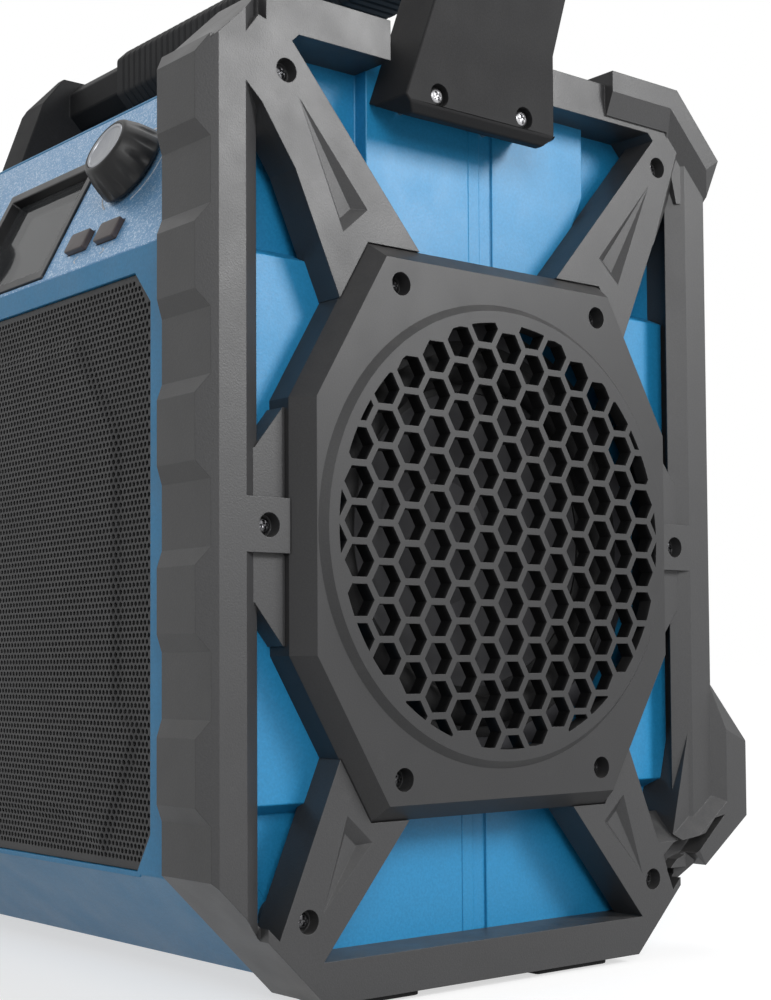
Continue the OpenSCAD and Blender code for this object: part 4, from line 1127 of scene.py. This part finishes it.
@dataclass
class Grille:
    """The perforated sheet over the front speakers, with its pressed field."""

    half: float = 117.5
    top: float = 89.5
    bottom: float = -114.0
    top_cut: tuple[float, float] = (10.5, 11.5)
    foot_cut: tuple[float, float] = (8.5, 13.0)
    pitch: float = 2.5
    hole_r: float = 0.96
    rim: float = 1.8
    face: float = -1.2
    sheet: float = 0.9
    emboss: float = 1.1
    slope: float = 2.6
    cloth: tuple[float, float] = (-2.38, -2.3)

    def outline(self) -> np.ndarray:
        """The sheet's outline, counter-clockwise."""
        w, t, b = self.half, self.top, self.bottom
        top, foot = w - self.top_cut[0], w - self.foot_cut[0]
        high, low = t - self.top_cut[1], b + self.foot_cut[1]
        return np.array([
            (-foot, b), (foot, b), (w, low), (w, high), (top, t), (-top, t), (-w, high), (-w, low),
        ])

    def field(self) -> np.ndarray:
        """Outline of the pressed field."""
        return np.array([
            (-64, -98), (64, -98), (84, -109), (108, -67), (94, -57), (94, 37),
            (64, 72), (-64, 72), (-94, 37), (-94, -57), (-108, -67), (-84, -109),
        ], float)

    def lift(self, x: np.ndarray, y: np.ndarray) -> np.ndarray:
        """Height of the pressed field at some points.

        Args:
            x: Their x.
            y: Their y.

        Returns:
            The height at each point.
        """
        here = np.stack([x, y], 1)
        corners = self.field()
        away = np.full(len(x), 1e9)
        inside = np.zeros(len(x), bool)
        for a, b in zip(corners, np.roll(corners, -1, 0)):
            edge = b - a
            t = np.clip(((here - a) @ edge) / (edge @ edge), 0, 1)
            away = np.minimum(away, np.linalg.norm(here - a - t[:, None] * edge, axis=1))
            crosses = (a[1] > y) != (b[1] > y)
            at = a[0] + (y - a[1]) * edge[0] / (edge[1] if edge[1] else 1e-9)
            inside ^= crosses & (x < at)
        depth = np.where(inside, away, -away) / self.slope
        return self.emboss * np.clip(0.5 + depth / 2, 0, 1)

    def cells(self) -> tuple[list[Point], list[Sequence[int]]]:
        """Six-sided cells, each with a hole where it is inside the rim.

        Returns:
            The points and the faces of the flat sheet.
        """
        outer = self.pitch / math.sqrt(3)
        step = self.pitch * math.sqrt(3) / 2
        edges = self.outline()
        ahead = np.roll(edges, -1, 0) - edges
        inward = np.stack([-ahead[:, 1], ahead[:, 0]], 1)
        inward /= np.linalg.norm(inward, axis=1, keepdims=True)
        corner = [(math.sin(math.pi / 3 * k), math.cos(math.pi / 3 * k)) for k in range(6)][::-1]
        points: list[Point] = []
        faces: list[Sequence[int]] = []
        rows = range(int(self.bottom / step) - 2, int(self.top / step) + 3)
        columns = range(-int(self.half / self.pitch) - 2, int(self.half / self.pitch) + 3)
        for row in rows:
            for column in columns:
                x, y = (column + 0.5 * (row % 2)) * self.pitch, row * step
                room = float(((np.array((x, y)) - edges) * inward).sum(1).min())
                if room < -2 * self.pitch:
                    continue
                first = len(points)
                points += [(x + outer * a, y + outer * b, 0) for a, b in corner]
                if room < self.rim:
                    faces.append(range(first, first + 6))
                    continue
                points += [(x + self.hole_r * a, y + self.hole_r * b, 0) for a, b in corner]
                faces += [
                    (first + k, first + (k + 1) % 6, first + 6 + (k + 1) % 6, first + 6 + k)
                    for k in range(6)
                ]
        return points, faces

    def build(self) -> None:
        """Makes the sheet and the dark cloth behind it."""
        points, faces = self.cells()
        flat = bpy.data.meshes.new("grille_sheet")
        flat.from_pydata(points, [], faces)
        work = bmesh.new()
        work.from_mesh(flat)
        bmesh.ops.remove_doubles(work, verts=work.verts, dist=0.01)
        corners = self.outline()
        for a, b in zip(corners, np.roll(corners, -1, 0)):
            bmesh.ops.bisect_plane(
                work, geom=[*work.verts, *work.edges, *work.faces], dist=1e-4,
                plane_co=(*a, 0), plane_no=(b[1] - a[1], a[0] - b[0], 0), clear_outer=True,
            )
        rims = [e for e in work.edges if e.is_boundary]
        walls = bmesh.ops.extrude_edge_only(work, edges=rims)["geom"]
        for vert in (v for v in walls if isinstance(v, bmesh.types.BMVert)):
            vert.co.z -= self.sheet
        place = np.array([v.co for v in work.verts])
        height = self.lift(place[:, 0], place[:, 1]) + self.face
        for vert, up in zip(work.verts, height):
            vert.co.z += up
        bmesh.ops.transform(work, matrix=RADIO.face(), verts=work.verts)
        work.to_mesh(flat)
        work.free()
        shade_by_angle(flat, 40.0)
        SHOP.place(new_object("grille_sheet", flat), GRILLE_STEEL, "speaker_grille")
        inner = rounded_outline(corners * 0.985, 4.0)
        rings = [at_height(inner, z) for z in self.cloth]
        SHOP.loft("speaker_cloth", rings, RADIO.face(), SPEAKER_CLOTH, body="radio")


@dataclass
class Speakers:
    """The four drivers."""

    def build(self) -> None:
        """Dresses the drivers behind the front and the sides."""
        for side in Side:
            for kind in ("driver", "woofer"):
                name = f"{side.label}_{kind}"
                SHOP.paint(BASKET_STEEL, name + "_basket")
                SHOP.paint(CONE_PAPER, name + "_cone")
                SHOP.paint(SOFT_RUBBER, name + "_surround")
            SHOP.paint(MAGNET_IRON, f"{side.label}_woofer_magnet")


class HeadPlace(Enum):
    """The three sets of screws."""

    GUARD = "guard_screws"
    BEZEL = "bezel_screws"
    HANDLE = "handle_screws"


@dataclass
class ScrewSet:
    """Pan-head cross screws of one set, on both sides."""

    kind: HeadPlace
    finish: Finish
    places: Sequence[Point]
    depth: float
    length: float
    head_r: float = 2.75
    head_h: float = 2.0
    rim: float = 0.42
    shank_r: float = 1.5
    slot_w: float = 1.1
    slot_l: float = 1.75
    slot_deep: float = 1.15
    slot_rise: float = 0.35
    slot_wall: tuple[float, float] = (0.12, 0.3)
    cells: int = 36

    def dome(self, x: float, y: float) -> float:
        """Height of the head at a point, with its cross pressed in.

        Args:
            x: The point's x.
            y: The point's y.

        Returns:
            The height over the head's underside.
        """
        r = min(1.0, math.hypot(x, y) / self.head_r)
        dome = math.sqrt(max(0.0, 1 - r**2.6))
        top = self.head_h * (self.rim + (1 - self.rim) * dome)
        reach = max(abs(x), abs(y))
        across, along = self.slot_w / 2 - min(abs(x), abs(y)), self.slot_l - reach
        if across > 0 and along > 0:
            wall = min(across / self.slot_wall[0], along / self.slot_wall[1], 1.0)
            top -= wall * (self.slot_deep - self.slot_rise * reach / self.slot_l)
        return top

    def head(self, maker: MeshMaker, place: Matrix) -> None:
        """Adds one screw.

        Args:
            maker: The mesh that takes it.
            place: Frame whose z leaves the head.
        """
        span = self.head_r
        count = self.cells + 1
        steps = [span * (2 * i / self.cells - 1) for i in range(count)]
        points: list[Point] = []
        for a in steps:
            for b in steps:
                # A square grid pressed into a disc, so that the arms of the cross follow it
                x = a * math.sqrt(1 - (b / span) ** 2 / 2)
                y = b * math.sqrt(1 - (a / span) ** 2 / 2)
                points.append((x, y, self.dome(x, y)))
        corners = (i * count + j for i in range(self.cells) for j in range(self.cells))
        faces = [(k, k + count, k + count + 1, k + 1) for k in corners]
        maker.add(points, faces, place)
        profile = (
            (self.shank_r, -self.length), (self.shank_r, 0),
            (self.head_r, 0), (self.head_r, self.head_h * self.rim),
        )
        maker.loft([circle_ring(r, z, 24) for r, z in profile], place, (True, False))

    def build(self) -> None:
        """Makes the whole set as one piece."""
        maker = MeshMaker()
        for side in Side:
            for number, (u, v) in enumerate(self.places):
                # Every screw has stopped at a turn of its own
                turn = Matrix.Rotation(0.5 + 1.3 * number, 4, "Z")
                spot = Matrix.Translation((u, v, -self.depth)) @ turn
                self.head(maker, RADIO.side(side) @ spot)
        name = self.kind.value
        SHOP.place(maker.build(name + "_heads", 45.0), self.finish, name)


@dataclass
class SideTrim:
    """Guards, bezels and the screws that hold them."""

    bezel_screw: tuple[float, float] = (46.8, 83.8)
    guard_screws: Sequence[Point] = ((89.0, 150.0), (96.2, 0.0), (81.3, -128.3))

    def build(self) -> None:
        """Makes both sides."""
        edges = Softening(0, same=10, flat=True)
        for side in Side:
            SHOP.soften(f"{side.label}_guard", GUARD_RUBBER, edges)
            SHOP.soften(f"{side.label}_bezel", BEZEL_PLASTIC, edges)
        u, v = self.bezel_screw
        corners = [(a * u, b * v) for a in (-1, 1) for b in (-1, 1)]
        ScrewSet(HeadPlace.BEZEL, DARK_SCREW, corners, 6.0, 28.3).build()
        spots = [(a * u, v) for a in (-1, 1) for u, v in self.guard_screws]
        ScrewSet(HeadPlace.GUARD, DARK_SCREW, spots, 12.0, 22.3).build()


@dataclass
class Handle:
    """The handle, its sleeve and its bright screws."""

    screws: Sequence[Point] = ((-30.0, 152.0), (10.0, 152.0))
    sleeve_half: float = 100.0
    sleeve_t: float = 3.0
    corner: float = 6.0
    plain_end: float = 6.0
    rib_pitch: float = 5.0
    ribs: Sequence[Point] = ((0, 0), (0.6, 0.6), (1.6, 0.6), (2.2, 0))

    def build(self) -> None:
        """Makes the handle."""
        SHOP.soften("handle", HANDLE_PLASTIC, Softening(0.6))
        self.build_sleeve()
        ScrewSet(HeadPlace.HANDLE, BRIGHT_SCREW, self.screws, 2.0, 32.3).build()

    def build_sleeve(self) -> None:
        """Makes the ribbed rubber sleeve."""
        low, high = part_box("handle_grip")
        middle = (low + high) / (2 * MM)
        w, h, cut = (high.y - low.y) / (2 * MM), (high.z - low.z) / (2 * MM), self.corner
        outline = rounded_outline([
            (w - cut, -h), (w, cut - h), (w, h - cut), (w - cut, h),
            (cut - w, h), (-w, h - cut), (-w, cut - h), (cut - w, -h),
        ], 3.0)
        half = self.sleeve_half
        ends = ((0.0, 0.3 - self.sleeve_t), (0.0, -1.0), (1.0, 0.0))
        rings = [at_height(outline, inset - half, grow) for inset, grow in ends]
        x = self.plain_end - half
        while x < half - self.plain_end:
            rings += [at_height(outline, x + ahead, -depth) for ahead, depth in self.ribs]
            x += self.rib_pitch
        rings += [at_height(outline, half - inset, grow) for inset, grow in ends[::-1]]
        place = Matrix.Scale(MM, 4) @ Matrix.Translation((0, middle.y, middle.z)) @ SIDEWAYS
        SHOP.loft("handle_sleeve", rings, place, SOFT_RUBBER, "handle_grip", smooth=25.0)


@dataclass
class Electronics:
    """Boards and the battery pack inside."""

    def build(self) -> None:
        """Dresses them."""
        SHOP.paint(BOARD_LACQUER, "main_board", "amp_board")
        SHOP.soften("battery_pack", BATTERY_PLASTIC, Softening(2.0, 3))


@dataclass
class Back:
    """Battery door, socket panel and antenna."""

    def build(self) -> None:
        """Dresses everything on the back."""
        for node, finish, width in (
            ("battery_door", BLUE_SHELL, 0.6),
            ("door_fastener", SOCKET_PLASTIC, 0.35),
            ("socket_plate", SOCKET_PLASTIC, 0.3),
            ("socket_flap", SOFT_RUBBER, 0.3),
            ("antenna_mount", SOCKET_PLASTIC, 0.4),
            ("antenna_base", SOCKET_PLASTIC, 0.4),
            ("antenna_rod", SOFT_RUBBER, 0.3),
        ):
            SHOP.soften(node, finish, Softening(width))
        SHOP.paint(PIN_STEEL, "battery_door_pin", "flap_pin")
        SHOP.paint(FRAME_PLASTIC, "aux_socket", "dc_socket")


# --- Studio ---


@dataclass
class Studio:
    """Floor, lights, background and camera."""

    camera_at: Point = (0.6245, -0.4172, 0.1138)
    camera_turn: Sequence[Point] = (
        (0.648667, 0.041481, 0.759941),
        (0.761034, -0.025337, -0.648217),
        (-0.007634, 0.998818, -0.048004),
    )
    focal_px: float = 1728.1
    centre_px: tuple[float, float] = (450.0, 581.04)
    image_px: tuple[int, int] = (771, 1000)
    sensor: float = 36.0
    floor_half: float = 30.0
    sky: float = 0.25
    paper: float = 0.5
    near_glow: float = 0.62
    far_glow: float = 0.9
    lamps: Sequence[tuple[str, Point, float, float]] = (
        ("key", (1.5, -0.75, 0.75), 0.8, 13.0),
        ("sheen", (1.39, 0.79, 0.87), 0.5, 19.0),
        ("top", (-0.2, 0.5, 1.9), 1.0, 6.0),
    )

    def build(self) -> None:
        """Sets up the studio."""
        self.build_floor()
        self.build_world()
        self.build_lamps()
        self.build_camera()
        bpy.context.scene.view_settings.view_transform = "Standard"

    def background_rays(self, graph: Graph) -> Socket:
        """One for the rays that show the white background, and 0 for those that light."""
        path = graph.add("ShaderNodeLightPath").outputs
        seen = graph.math("ADD", path["Is Camera Ray"], path["Is Transmission Ray"])
        return graph.math("ADD", seen, path["Is Glossy Ray"], clamp=True)

    def build_floor(self) -> None:
        """Lays the pale floor, which looks white where no shadow falls on it."""
        mesh = bpy.data.meshes.new("floor")
        corners = box_corners(2 * self.floor_half, 2 * self.floor_half)
        mesh.from_pydata([(x, y, 0) for x, y in corners], [], [(0, 1, 2, 3)])
        floor = new_object("floor", mesh)
        paper = bpy.data.materials.new("floor_paper")
        paper.use_nodes = True
        graph = Graph(paper.node_tree)
        place = graph.place()
        dark, light = ((self.paper + step,) * 3 for step in (-0.02, 0.02))
        away = graph.add("ShaderNodeVectorMath", {0: place}, operation="LENGTH").outputs["Value"]
        glow = graph.ramp(away, 0.4, 1.8, self.near_glow, self.far_glow)
        graph.feed(paper.node_tree.nodes["Principled BSDF"], {
            "Base Color": graph.mix(graph.noise(place, 3.0, 3.0), dark, light),
            "Emission Color": graph.times(glow, self.background_rays(graph)),
            "Emission Strength": 1.0,
            "Roughness": 0.9,
            "Specular IOR Level": 0.0,
        })
        mesh.materials.append(paper)

    def build_world(self) -> None:
        """Soft light all round, and a white background."""
        world = bpy.data.worlds.new("studio")
        bpy.context.scene.world = world
        world.use_nodes = True
        graph = Graph(world.node_tree)
        strength = graph.ramp(self.background_rays(graph), 0.0, 1.0, self.sky, 1.0)
        shade = world.node_tree.nodes["Background"]
        graph.feed(shade, {"Color": (1, 1, 1, 1), "Strength": strength})

    def build_lamps(self) -> None:
        """Hangs the soft boxes, all aimed at the middle of the radio."""
        for name, place, size, power in self.lamps:
            lamp = bpy.data.lights.new(name, "AREA")
            lamp.energy = power
            lamp.size = size
            box = new_object(name, lamp)
            box.location = place
            aim = Vector((0, 0, 0.2)) - Vector(place)
            box.rotation_mode = "QUATERNION"
            box.rotation_quaternion = aim.to_track_quat("-Z", "Y")

    def build_camera(self) -> None:
        """Places the camera."""
        width, height = self.image_px
        data = bpy.data.cameras.new("camera")
        data.sensor_width = self.sensor
        data.lens = self.focal_px / height * self.sensor
        data.shift_x = (width / 2 - self.centre_px[0]) / height
        data.shift_y = (self.centre_px[1] - height / 2) / height
        data.clip_start = 0.01
        camera = new_object("camera", data)
        turn = Matrix(self.camera_turn).to_4x4()
        camera.matrix_world = Matrix.Translation(self.camera_at) @ turn
        bpy.context.scene.camera = camera


def main() -> None:
    """Builds and dresses the radio, then the studio round it."""
    logging.basicConfig(level=logging.INFO, format="%(name)s: %(message)s")
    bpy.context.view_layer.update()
    for part in (
        Housing(), ControlPanel(), Grille(), Speakers(), SideTrim(), Handle(), Electronics(), Back()
    ):
        LOG.info("building %s", type(part).__name__)
        part.build()
    Studio().build()


if __name__ == "__main__":
    main()
